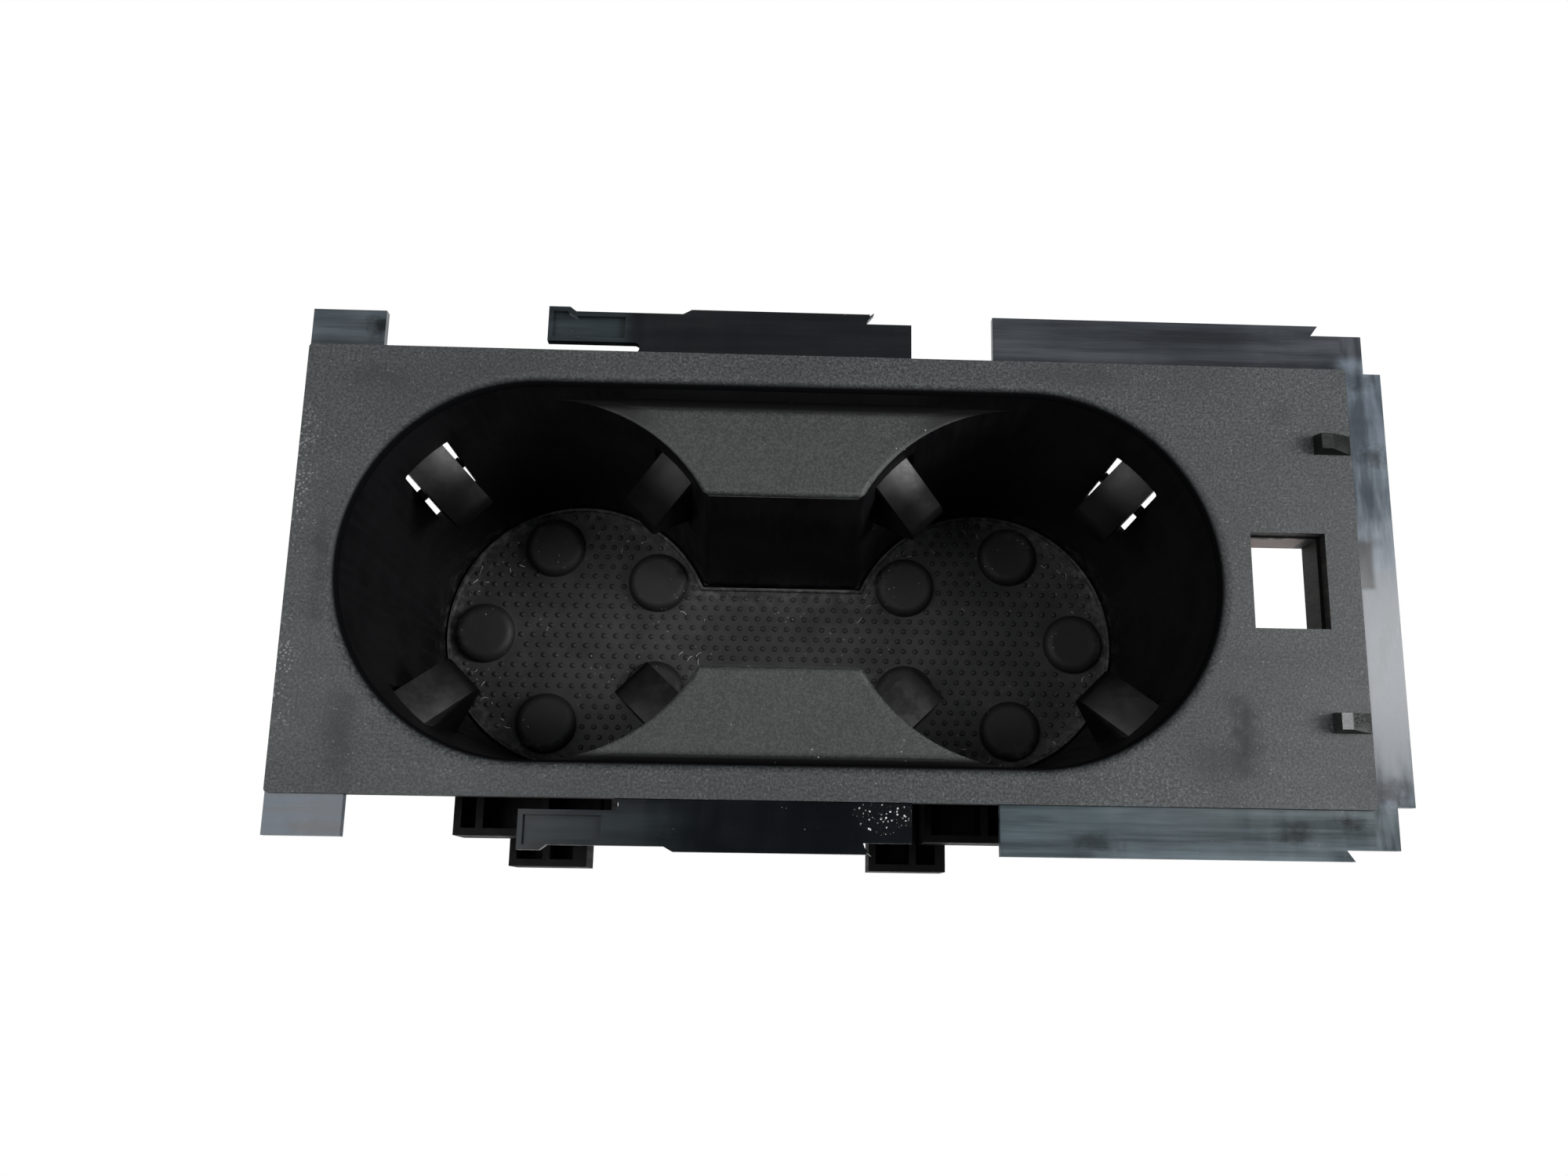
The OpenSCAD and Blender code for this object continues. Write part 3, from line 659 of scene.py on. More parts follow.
@dataclass(frozen=True)
class DuctPlastic:
    """Matt plastic of the window's walls, dark under the plate and warm grey lower down on the far wall.
    """

    name: str = "window_duct_plastic"
    tint: Colour = (0.0075, 0.0072, 0.0070)
    warm: Colour = (0.30, 0.235, 0.215)
    wall_y: Span = (9.3, 9.45)
    end_x: Span = (108.6, 107.4)
    low_z: Span = (73.9, 73.3)

    def build(self) -> Material:
        """Build the material: upright streaks, and a pale ragged patch low on the far wall."""
        tree = NodeTree(self.name)
        line = tree.noise(1.3, 4.0, 0.65, (1.0, 1.0, 0.06))
        fine = tree.noise(0.35, 3.0, 0.6)
        base = tree.blend(tree.band(line, 0.4, 0.72), self.tint, (0.026, 0.024, 0.021))
        ragged = tree.plus(tree.z, tree.mid(tree.noise(5.0, 3.0), -MM, MM))
        far = tree.times(tree.rise(tree.y, *self.wall_y), tree.rise(tree.x, *self.end_x))
        patch = tree.times(tree.rise(ragged, *self.low_z), far)
        colour = tree.blend(tree.times(patch, 0.9), base, self.warm)
        return tree.finish(colour, tree.mid(fine, 0.5, 0.7), tree.bump(fine, 0.02, 0.7))


@dataclass(frozen=True)
class MatRubber:
    """Dark rubber of the mat, faintly bloomed, dusty near the walls, with painted shade along its edge
    at the wall.
    """

    name: str = "studded_mat_rubber"
    tint: Colour = (0.0088, 0.0092, 0.0089)
    bloom: Colour = (0.0245, 0.0256, 0.0240)
    dust: Colour = (0.17, 0.175, 0.165)
    dust_start: float = 26.0
    dust_end: float = 33.5
    neck_start: float = 26.0
    neck_shift: float = 20.0
    neck_slope: float = 6.0

    def build(self) -> Material:
        """Build the material: dust grows with the distance from the cups' axes, and painted shade
        darkens the outermost edge.
        """
        tree = NodeTree(self.name)
        fine = tree.noise(0.35, 4.0, 0.65)
        cloud = tree.noise(11.0, 4.0, 0.6)
        far_x = tree.maths("ABSOLUTE", tree.x)
        far_y = tree.maths("ABSOLUTE", tree.y)
        along = tree.minus(far_x, SIZES.cup_x * MM)
        from_axis = tree.maths("SQRT", tree.plus(tree.times(along, along), tree.times(far_y, far_y)))
        past_neck = tree.maths("MAXIMUM", tree.minus(far_x, self.neck_start * MM), 0.0)
        in_neck = tree.plus(tree.plus(far_y, self.neck_shift * MM),
                            tree.times(past_neck, self.neck_slope))
        distance = tree.maths("MINIMUM", from_axis, in_neck)
        edge = tree.rise(distance, self.dust_start, self.dust_end)
        edge = tree.times(edge, tree.band(tree.noise(2.4, 5.0, 0.7), 0.4, 0.72))
        base = tree.blend(tree.band(cloud, 0.35, 0.68), self.tint, self.bloom)
        base = tree.blend(tree.band(fine, 0.4, 0.75, 0.0, 0.4), base, self.bloom)
        raised = tree.rise(tree.z, SIZES.mat_top + 0.12, SIZES.mat_top + 0.5, 0.0, 0.72)
        base = tree.blend(raised, base, (0.0052, 0.0052, 0.0049))
        dusty = tree.blend(tree.times(edge, 0.45), base, self.dust)
        speck = tree.specks(1.7, (0.12, 0.06), 8.0, (0.46, 0.62))
        lip = tree.times(tree.rise(distance, 32.35, 32.6), tree.rise(distance, 33.0, 32.8))
        lip = tree.times(lip, tree.band(tree.noise(14.0, 3.0), 0.42, 0.62))
        # Painted shade: the outermost edge of the mat, against the wall, goes near black.
        dusty = tree.blend(tree.rise(distance, 32.7, 33.0, 0.0, 0.8), dusty, (0.0040, 0.0040, 0.0038))
        lined = tree.blend(tree.times(lip, 0.2), dusty, (0.30, 0.30, 0.28))
        colour = tree.blend(tree.times(speck, 0.6), lined, (0.36, 0.37, 0.35))
        tree.sheen(0.35)
        return tree.finish(colour, tree.mid(fine, 0.55, 0.72), tree.bump(fine, 0.03, 0.8))


@dataclass(frozen=True)
class FlapPlastic:
    """Satin plastic of the grip flaps, brownish black, rubbed where cups slide on the nose, with painted
    shade under the nose.
    """

    name: str = "satin_flap_plastic"
    tint: Colour = (0.0098, 0.0094, 0.0092)
    rubbed: Colour = (0.0190, 0.0186, 0.0184)
    nose_low: float = 50.5
    nose_high: float = 56.0
    far_drop: float = 3.5

    def build(self) -> Material:
        """Build the material: a cloudy face with painted shade under the nose, starting higher up on the
        far side.
        """
        tree = NodeTree(self.name)
        cloud = tree.noise(5.0, 4.0, 0.6)
        line = tree.noise(1.1, 3.0, 0.6, (1.0, 1.0, 0.12))
        fine = tree.noise(0.22, 3.0, 0.6)
        base = tree.blend(tree.band(cloud, 0.35, 0.68), self.tint, self.rubbed)
        colour = tree.blend(tree.band(line, 0.5, 0.75, 0.0, 0.5), base, self.rubbed)
        rough = tree.plus(tree.mid(cloud, 0.36, 0.48), tree.mid(line, 0.0, 0.06))
        # Painted shade under the nose, starting higher on the far side.
        shade = tree.rise(tree.y, -4.0, 4.0, 0.0, self.far_drop * MM)
        lit = tree.rise(tree.minus(tree.z, shade), self.nose_low, self.nose_high, 0.1, 1.0)
        colour = tree.blend(lit, (0.0025, 0.0024, 0.0025), colour)
        tree.sheen(tree.times(lit, 0.4))
        return tree.finish(colour, rough, tree.bump(fine, 0.012, 0.7))


@dataclass(frozen=True)
class WireSteel:
    """Drawn steel of the pins and springs, with a thin oily darkening."""

    name: str = "drawn_steel"
    tint: Colour = (0.50, 0.50, 0.52)

    def build(self) -> Material:
        """Build the material: metal with die lines and patches of oil."""
        tree = NodeTree(self.name)
        line = tree.noise(0.2, 3.0, 0.6)
        oil = tree.noise(2.0, 3.0, 0.6)
        colour = tree.blend(tree.band(oil, 0.4, 0.7, 0.0, 0.6), self.tint, (0.22, 0.21, 0.20))
        rough = tree.mid(oil, 0.24, 0.42)
        tree.shader.inputs["Metallic"].default_value = 1.0
        return tree.finish(colour, rough, tree.bump(line, 0.006, 0.7))


@dataclass(frozen=True)
class Residue:
    """Dark crumbly residue on the near flange, with sparse bright grains that also serve as painted
    glints.
    """

    name: str = "sparkling_residue"

    def build(self) -> Material:
        """Build the material: dark crumbs with pale grains in between, which also serve as painted
        glints.
        """
        tree = NodeTree(self.name)
        cell = tree.cells(0.72)
        fine = tree.noise(0.8, 3.0, 0.7)
        # Pale grains in the colour, which also serve as painted glints on the crumbs.
        grain = tree.times(tree.band(cell, 0.34, 0.2), tree.band(fine, 0.48, 0.58))
        colour = tree.blend(grain, (0.0035, 0.004, 0.005), (0.62, 0.63, 0.62))
        rough = tree.band(cell, 0.1, 0.6, 0.3, 0.5)
        tree.sheen(0.05)
        return tree.finish(colour, rough, tree.bump(cell, 0.05, 0.6))


@dataclass(frozen=True)
class Lint:
    """Pale dust, fibres and crumbs."""

    name: str = "pale_lint"

    def build(self) -> Material:
        """Build the material: off-white with uneven greys."""
        tree = NodeTree(self.name)
        cloud = tree.noise(1.4, 3.0, 0.6)
        colour = tree.blend(tree.band(cloud, 0.3, 0.7), (0.30, 0.30, 0.28), (0.62, 0.62, 0.60))
        return tree.finish(colour, tree.mid(cloud, 0.6, 0.9), tree.bump(cloud, 0.02, 0.5))


def add_piece(name: str, mesh: bpy.types.Mesh, body: str) -> bpy.types.Object:
    """Put a mesh in the scene as a piece on a body.

    Args:
        name: The piece's name.
        mesh: Its mesh.
        body: The body that it rides on.

    Returns:
        The new object, at the origin.
    """
    piece = bpy.data.objects.new(name, mesh)
    bpy.context.scene.collection.objects.link(piece)
    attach(piece, body)
    log.info("%s: %d faces", name, len(mesh.polygons))
    return piece


def mesh_object(name: str, surface: Surface, material: Material,
                body: str) -> bpy.types.Object:
    """Make a smooth piece from whole arrays.

    Args:
        name: The piece's name.
        surface: Its points in millimetres and the corner numbers of its faces, one row each.
        material: Its material.
        body: The body that it rides on.

    Returns:
        The new object, at the origin.
    """
    points, faces = surface
    mesh = bpy.data.meshes.new(name)
    mesh.from_pydata((points * MM).tolist(), [], faces.tolist())
    mesh.polygons.foreach_set("use_smooth", np.full(len(mesh.polygons), True))
    mesh.materials.append(material)
    mesh.update()
    return add_piece(name, mesh, body)


def quads(corners: Sequence[Array], turned: bool) -> Array:
    """Stack the corners of many faces.

    Args:
        corners: The first, second, third and fourth corners of all faces.
        turned: Whether the faces run the other way round.

    Returns:
        The corner numbers, one row for each face.
    """
    first, second, third, fourth = corners
    order = (first, fourth, third, second) if turned else corners
    return np.stack(order, axis=-1).reshape(-1, 4)


def side_faces(rings: int, sides: int, turned: bool = False) -> Array:
    """Join each ring of points to the next one.

    Args:
        rings: Number of rings.
        sides: Points in a ring.
        turned: Whether the faces run the other way round.

    Returns:
        The corner numbers of the faces.
    """
    lower, step = np.meshgrid(np.arange(rings - 1) * sides, np.arange(sides), indexing="ij")
    after = (step + 1) % sides
    return quads((lower + step, lower + after, lower + after + sides, lower + step + sides), turned)


def cap_faces(sides: int, turned: bool = False) -> Array:
    """Close the first ring with folded four-cornered faces."""
    half = np.arange(sides // 2 - 1)
    return quads((half, sides - 1 - half, sides - 2 - half, half + 1), turned)


def sweep_faces(rings: int, sides: int, turned: bool = False) -> Array:
    """Join the rings of a swept section and close both ends.

    Args:
        rings: Number of rings.
        sides: Points in a ring.
        turned: Whether the faces run the other way round.

    Returns:
        The corner numbers of the faces.
    """
    start = cap_faces(sides, turned)
    end = (rings - 1) * sides + start[:, ::-1]
    return np.concatenate([side_faces(rings, sides, turned), start, end])


def tube(route: Array, radius: float, sides: int) -> Surface:
    """Sweep a round section along a route, with flat ends.

    Each ring lies square to the run between its neighbours: its two directions are the cross
    products of the run with a fixed helper axis, and of the run with the first of them.

    Args:
        route: Points of the middle line, one row each.
        radius: The section's radius.
        sides: Corners of the section.

    Returns:
        The points and the four-cornered faces, with each end closed by folded quads.
    """
    run = np.gradient(route, axis=0)
    run /= np.linalg.norm(run, axis=1, keepdims=True)
    spread = np.abs(route - route.mean(axis=0)).sum(axis=0)
    helper = np.eye(3)[int(np.argmin(spread))]
    first = np.cross(run, helper)
    first /= np.linalg.norm(first, axis=1, keepdims=True)
    second = np.cross(run, first)
    turns = 2.0 * np.pi * np.arange(sides) / sides
    ring = np.cos(turns)[None, :, None] * first[:, None] - np.sin(turns)[None, :, None] * second[:, None]
    points = (route[:, None] + radius * ring).reshape(-1, 3)
    return points, sweep_faces(len(route), sides)


def softened(node: str, name: str, width: float, body: str,
             crease: float = 32.0) -> bpy.types.Object:
    """Copy a solid, merge its loose triangles and round its sharp edges.

    Args:
        node: The solid's node, which the copy then stands for.
        name: The new piece's name.
        width: Width of the rounded edges in millimetres.
        body: The body that it rides on.
        crease: Edges sharper than this, in degrees, are rounded.

    Returns:
        The new object, with its edges rounded and its curved faces shaded smooth.
    """
    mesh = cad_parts[node].data.copy()
    mesh.name = name
    mesh.materials.clear()
    work = bmesh.new()
    work.from_mesh(mesh)
    bmesh.ops.remove_doubles(work, verts=work.verts, dist=0.0005 * MM)
    bmesh.ops.dissolve_degenerate(work, edges=work.edges, dist=0.0005 * MM)
    bmesh.ops.dissolve_limit(work, angle_limit=math.radians(JOIN_ANGLE), use_dissolve_boundaries=False,
                             verts=work.verts, edges=work.edges)
    for face in work.faces:
        face.smooth = max(map(abs, face.normal)) < FLAT_FACE
    work.to_mesh(mesh)
    work.free()
    mesh.update()
    piece = add_piece(name, mesh, body)
    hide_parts(node)
    bevel = piece.modifiers.new("soft_edges", "BEVEL")
    bevel.width = width * MM
    bevel.segments = 2
    bevel.limit_method = "ANGLE"
    bevel.angle_limit = math.radians(crease)
    bevel.use_clamp_overlap = True
    bevel.harden_normals = True
    bevel.miter_outer = "MITER_ARC"
    return piece


FINISHES = {
    Zone.PLATE: GrainedPlastic(),
    Zone.FLANGE: SatinFlange(),
    Zone.WELL: WellPlastic(),
    Zone.SHELF: ShelfPlastic(),
    # The same satin plastic, darkened as painted shade on the faces under the plate and flanges.
    Zone.UNDERSIDE: WellPlastic("satin_underside_plastic_painted_shade", (0.0018, 0.0014, 0.0013),
                                (0.0040, 0.0032, 0.0030), 0.46, 0.1),
    Zone.HOOK: HookPlastic(),
    Zone.DUCT: DuctPlastic(),
}


@dataclass
class Housing:
    """The moulded housing: plate, flanges, hooks, well, shelves, duct, ears and boxes."""

    sizes: Sizes = SIZES
    edge: float = 0.3
    level: float = 0.25
    skin: float = 1.2
    rim_depth: float = 2.6
    rim_width: float = 2.8
    flange_depth: float = 3.5
    shelf_reach: float = 1.4
    shelf_start: float = 12.0
    duct_x: Span = (95.0, 111.0)
    duct_z: Span = (60.0, 76.5)
    duct_half: float = 10.3
    steep: float = 0.9

    def build(self) -> bpy.types.Object:
        """Soften the housing and give each stretch of it its finish."""
        piece = softened("housing", "moulded_housing", self.edge, "housing")
        for zone in Zone:
            piece.data.materials.append(FINISHES[zone].build())
        piece.data.polygons.foreach_set("material_index", self.zones(piece.data))
        piece.data.update()
        ShelfRoots(self.sizes).build(piece.data.materials[Zone.SHELF.value])
        return piece

    def zones(self, mesh: bpy.types.Mesh) -> Array:
        """Sort the faces into zones by the place and slope of each one.

        Args:
            mesh: The merged housing.

        Returns:
            One zone number for each face.
        """
        size = self.sizes
        count = len(mesh.polygons)
        centre = np.empty(count * 3)
        normal = np.empty(count * 3)
        mesh.polygons.foreach_get("center", centre)
        mesh.polygons.foreach_get("normal", normal)
        x, y, z = centre.reshape(-1, 3).T / MM
        up = normal.reshape(-1, 3)[:, 2]
        out = np.hypot(np.maximum(np.abs(x) - size.cup_x, 0.0), y)
        wall = size.cup_r(z)
        within = out < wall + self.skin
        rim_start = size.top - self.rim_depth
        step = size.top - size.flange_step
        shelf = size.top - size.shelf_depth
        outside = (np.abs(y) > size.plate_half + 0.1) | (x > size.plate_right + 0.1)
        shelf_level = (np.abs(z - shelf) < self.shelf_reach) & (up > 0.12)
        duct_x = (x > self.duct_x[0]) & (x < self.duct_x[1]) & (np.abs(y) < self.duct_half)
        duct_z = (z > self.duct_z[0]) & (z < self.duct_z[1]) & (np.abs(up) < self.steep)
        zone = np.full(count, Zone.UNDERSIDE.value)
        for kind, chosen in (
            (Zone.PLATE, (z > step + 0.1) & (up > -0.1)),
            (Zone.FLANGE, (np.abs(z - step) < self.level) & (up > self.steep)),
            (Zone.FLANGE, outside & (z > size.top - self.flange_depth)),
            (Zone.WELL, within & (z > size.floor - 0.1) & (z < rim_start)),
            (Zone.PLATE, within & (z >= rim_start) & (out < wall + self.rim_width)),
            (Zone.SHELF, within & shelf_level & (np.abs(y) > self.shelf_start)),
            (Zone.HOOK, z > size.top + 0.3),
            (Zone.DUCT, duct_x & duct_z),
        ):
            zone[chosen] = kind.value
        return zone.astype(np.int32)


@dataclass
class ShelfRoots:
    """The hollow fillets where the two shelves run into the upper walls."""

    sizes: Sizes = SIZES
    radius: float = 1.7
    reach: float = 44.0
    stations: int = 161
    steps: int = 10
    share: float = 0.42
    least: float = 0.05
    sunk: float = 0.03

    def build(self, finish: Material) -> None:
        """Lay both fillets in the shelves' finish."""
        mesh_object("shelf_root_fillets", self.surfaces(), finish, "housing")

    def surfaces(self) -> Surface:
        """Sweep a hollow quarter round along the far root and mirror it to the near one.

        The fillet's radius follows the width of the shelf: the upper wall's distance from the
        long axis less the root of the cup's radius squared less the distance along x squared.
        It is the whole radius in the middle and a share of the shelf's width at its tips.

        Returns:
            The points and the faces of both fillets.
        """
        size = self.sizes
        shelf = size.top - size.shelf_depth
        wall = size.cup_r(shelf)
        x = np.linspace(-self.reach, self.reach, self.stations)
        along = np.maximum(size.cup_x - np.abs(x), 0.0)
        width = wall - np.sqrt(np.maximum(wall ** 2 - np.minimum(along, wall) ** 2, 0.0))
        radius = np.clip(self.share * width - self.least, self.least, self.radius)[:, None]
        turn = np.linspace(0.0, 0.5 * np.pi, self.steps)[None, :]
        arc_y = wall - radius + radius * np.sin(turn)
        arc_z = shelf + radius - radius * np.cos(turn)
        arc_y = arc_y + (arc_z - shelf) * (size.cup_r(1.0) - size.cup_r(0.0))
        corner_y = np.full((len(x), 1), wall + self.sunk)
        corner_z = np.full((len(x), 1), shelf - self.sunk)
        foot_y, foot_z = arc_y[:, :1], np.full((len(x), 1), shelf - self.sunk)
        head_y, head_z = arc_y[:, -1:] + self.sunk, arc_z[:, -1:]
        y = np.concatenate([foot_y, arc_y, head_y, corner_y], axis=1)
        z = np.concatenate([foot_z, arc_z, head_z, corner_z], axis=1)
        far = np.stack([np.broadcast_to(x[:, None], y.shape), y, z], axis=-1).reshape(-1, 3)
        faces = sweep_faces(*y.shape, turned=True)
        near = far * (1.0, -1.0, 1.0)
        return np.concatenate([far, near]), np.concatenate([faces, faces[:, ::-1] + len(far)])


@dataclass
class Mat:
    """The rubber mat with its domed pads, its lip and its hundreds of small studs."""

    sizes: Sizes = SIZES
    pitch: float = 2.95
    stud_r: float = 0.72
    stud_h: float = 0.42
    stud_sides: int = 8
    margin: float = 2.1
    pad_clear: float = 0.9
    rows: int = 13
    columns: int = 30
    wall_gap: float = 0.33
    neck_gap: float = 0.4
    neck_overlap: float = 10.0

    def build(self) -> None:
        """Dress the mat and stand the studs on it."""
        rubber = MatRubber().build()
        body = softened("rubber_mat", "studded_mat", 0.18, "housing", crease=40.0)
        body.data.materials.append(rubber)
        mesh_object("mat_studs", self.studs(self.places()), rubber, "housing")

    def places(self) -> Array:
        """Lay a staggered grid over the mat and keep the studs clear of pads and edges.

        Returns:
            The centres of the studs as x and y.
        """
        size = self.sizes
        rows = np.arange(-self.rows, self.rows + 1)
        row_step = self.pitch * math.sqrt(3.0) / 2.0
        columns = np.arange(-self.columns, self.columns + 1)
        x, row = np.meshgrid(columns * self.pitch, rows, indexing="xy")
        x = x + (row % 2) * self.pitch / 2.0
        grid = np.stack([x.ravel(), (row * row_step).ravel()], axis=1)
        mat_r = size.cup_floor_r - self.wall_gap
        in_cup = np.hypot(np.abs(grid[:, 0]) - size.cup_x, grid[:, 1]) < mat_r - self.margin
        neck = (size.cup_x - self.neck_overlap, size.neck_floor_half - self.margin - self.neck_gap)
        in_neck = (np.abs(grid) < neck).all(axis=1)
        apart = np.linalg.norm(grid[:, None] - size.pad_centres()[None], axis=2)
        clear = apart.min(axis=1) > size.pad_r + self.pad_clear
        return grid[(in_cup | in_neck) & clear]

    def studs(self, centres: Array) -> Surface:
        """Copy one low dome to every centre.

        A dome is three rings over a quarter turn, radius times the cosine and height times
        the sine of the turn, closed at both ends.

        Args:
            centres: The studs' centres as x and y.

        Returns:
            The points and the faces of all studs.
        """
        rise = np.radians([0.0, 35.0, 65.0])
        turn = 2.0 * np.pi * np.arange(self.stud_sides) / self.stud_sides
        ring_r = self.stud_r * np.cos(rise)[:, None]
        dome = np.stack([
            ring_r * np.cos(turn), ring_r * np.sin(turn),
            np.broadcast_to(self.stud_h * np.sin(rise)[:, None], (3, self.stud_sides)),
        ], axis=-1).reshape(-1, 3)
        dome[:, 2] += self.sizes.mat_top - 0.02
        faces = sweep_faces(3, self.stud_sides)
        place = np.concatenate([centres, np.zeros((len(centres), 1))], axis=1)
        points = (dome[None] + place[:, None]).reshape(-1, 3)
        shift = (np.arange(len(centres)) * len(dome))[:, None, None]
        return points, (faces[None] + shift).reshape(-1, 4)


@dataclass
class Grip:
    """One sprung grip flap with its steel pin and its wound spring."""

    side: Side
    place: Place
    flap_finish: Material
    steel: Material
    sizes: Sizes = SIZES
    wire_r: float = 0.3
    coil_r: float = 1.85
    coil_half: float = 1.8
    turns: int = 4
    leg_up_turn: float = 29.0
    leg_up_l: float = 7.5
    leg_in_turn: float = -72.0
    leg_in_l: float = 12.2

    @property
    def name(self) -> str:
        """Return the end of the names of this grip's nodes."""
        return f"{self.side.name}_{self.place.name}".lower()

    def build(self) -> None:
        """Dress the flap and the pin, and wind the spring."""
        flap = softened(f"flap_{self.name}", f"grip_flap_{self.name}", 0.55,
                        f"flap_{self.name}")
        flap.data.materials.append(self.flap_finish)
        pin = softened(f"pin_{self.name}", f"hinge_pin_{self.name}", 0.2, "housing")
        pin.data.materials.append(self.steel)
        coil, leg = self.wire()
        spring = mesh_object(f"torsion_spring_{self.name}", tube(self.stand(coil), self.wire_r, 12),
                             self.steel, "housing")
        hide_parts(f"spring_{self.name}")
        mesh_object(f"spring_leg_{self.name}", tube(self.stand(leg), self.wire_r, 12),
                    self.steel, f"flap_{self.name}")

    def wire(self) -> tuple[Array, Array]:
        """Work out the wire's middle line in the flap's own frame.

        The coil is a helix: the turn falls evenly from the first leg's angle and the place
        along the pin runs evenly from one side to the other. Each leg is a straight tangent.
        The lower leg turns with its flap, so it is a piece of its own.

        Returns:
            The coil with its upper leg, and the lower leg, as points that stand() takes.
        """
        share = np.linspace(0.0, 1.0, 24 * self.turns + 1)
        span = 360.0 * (self.turns - 1) + self.leg_up_turn - self.leg_in_turn
        turn = np.radians(self.leg_up_turn - span * share)
        coil = np.stack([
            self.sizes.pivot_r + self.coil_r * np.cos(turn),
            self.coil_half * (1.0 - 2.0 * share),
            self.sizes.pivot_z + self.coil_r * np.sin(turn),
        ], axis=1)
        up = np.radians(self.leg_up_turn)
        inward = np.radians(self.leg_in_turn)
        up_way = np.array([-np.sin(up), 0.0, np.cos(up)])
        in_way = np.array([np.sin(inward), 0.0, -np.cos(inward)])
        up_leg = coil[0] + np.linspace(self.leg_up_l, 0.8, 5)[:, None] * up_way
        in_leg = coil[-1] + np.linspace(0.0, self.leg_in_l, 5)[:, None] * in_way
        return np.concatenate([up_leg, coil]), in_leg

    def stand(self, local: Array) -> Array:
        """Turn points from the flap's own frame into the holder's frame.

        Args:
            local: Points as distance from the cup's axis, place along the pin, and height.

        Returns:
            The same points as x, y and z.
        """
        turn = math.radians(self.sizes.grip_turn(self.side, self.place))
        out, along, height = local.T
        x = self.side.value * self.sizes.cup_x + out * math.cos(turn) - along * math.sin(turn)
        y = out * math.sin(turn) + along * math.cos(turn)
        return np.stack([x, y, height], axis=1)


@dataclass
class Dirt:
    """Lint fibres on the mat, and the crumbly residue on the near flange."""

    sizes: Sizes = SIZES
    fibres: int = 120
    seed: int = 7
    fibre_ring: float = 31.2
    fibre_spread: float = 3.4
    fibre_limit: float = 31.6
    fibre_l: Span = (0.5, 2.2)
    fibre_r: Span = (0.04, 0.075)
    fibre_bend: float = 1.1
    long_share: float = 0.12
    residue_centre: Span = (20.9, -48.7)
    residue_half: Span = (6.3, 3.1)
    residue_end: float = 26.0
    rings: int = 26
    spokes: int = 96

    def build(self) -> None:
        """Scatter the fibres and lay the residue."""
        mesh_object("lint_fibres", self.fibre_meshes(), Lint().build(), "housing")
        mesh_object("flange_residue", self.residue(), Residue().build(), "housing")

    def fibre_meshes(self) -> Surface:
        """Lay short curved fibres round the mat's edges, each a thin swept tube.

        A fibre is a shallow arc: its run turns evenly along its length, and it lies just
        above the mat.

        Returns:
            The points and the faces of all fibres.
        """
        draw = np.random.default_rng(self.seed)
        size = self.sizes
        points: list[Array] = []
        faces: list[Array] = []
        total = 0
        for _ in range(self.fibres):
            side = draw.choice([-1.0, 1.0])
            around = draw.uniform(0.0, 2.0 * np.pi)
            ring = self.fibre_ring - abs(draw.normal(0.0, self.fibre_spread))
            start = np.array([side * size.cup_x + ring * np.cos(around), ring * np.sin(around)])
            heading = draw.uniform(0.0, 2.0 * np.pi)
            length = draw.uniform(*self.fibre_l) * (2.0 if draw.random() < self.long_share else 1.0)
            bend = draw.normal(0.0, self.fibre_bend)
            share = np.linspace(0.0, 1.0, 6)
            way = heading + bend * share
            steps = np.stack([np.cos(way), np.sin(way)], axis=1) * length / 5.0
            line = start + np.cumsum(steps, axis=0)
            inside = np.hypot(np.abs(line[:, 0]) - size.cup_x, line[:, 1]).max() < self.fibre_limit
            apart = np.linalg.norm(line[:, None] - size.pad_centres()[None], axis=2).min()
            if not inside or apart < size.pad_r + 0.3:
                continue
            lift = size.mat_top + 0.1 + 0.25 * np.sin(np.pi * share)
            radius = draw.uniform(*self.fibre_r)
            mesh_points, mesh_faces = tube(np.column_stack([line, lift]), radius, 6)
            points.append(mesh_points)
            faces.append(mesh_faces + total)
            total += len(mesh_points)
        return np.concatenate(points), np.concatenate(faces)

    def residue(self) -> Surface:
        """Raise a thin ragged crust on the near flange.

        The crust is a disc of rings and spokes. Its outline swells and shrinks with a sum of
        sines, and its height is a bumpy sum of sines that falls to nothing at the edge.

        Returns:
            The points and the faces of the crust.
        """
        ring, spoke = np.meshgrid(np.linspace(0.02, 1.0, self.rings), np.arange(self.spokes),
                                  indexing="ij")
        turn = 2.0 * np.pi * spoke / self.spokes
        edge = (1.0 + 0.10 * np.sin(3.0 * turn + 0.6) + 0.07 * np.sin(7.0 * turn)
                + 0.04 * np.sin(17.0 * turn))
        x = self.residue_centre[0] + self.residue_half[0] * ring * edge * np.cos(turn)
        y = self.residue_centre[1] + self.residue_half[1] * ring * edge * np.sin(turn)
        y = np.minimum(y, -self.sizes.plate_half - 0.05)
        x = np.minimum(x, self.residue_end)
        crumb = np.sin(4.1 * x + 2.0 * np.sin(3.3 * y)) * np.sin(5.3 * y + 1.7 * np.sin(2.9 * x))
        height = (0.10 + 0.10 * crumb) * np.sqrt(np.maximum(1.0 - ring ** 2, 0.0))
        z = self.sizes.top - self.sizes.flange_step + 0.01 + height
        points = np.stack([x, y, z], axis=-1).reshape(-1, 3)
        faces = side_faces(self.rings, self.spokes, turned=True)
        return points, np.concatenate([faces, cap_faces(self.spokes, turned=True)])


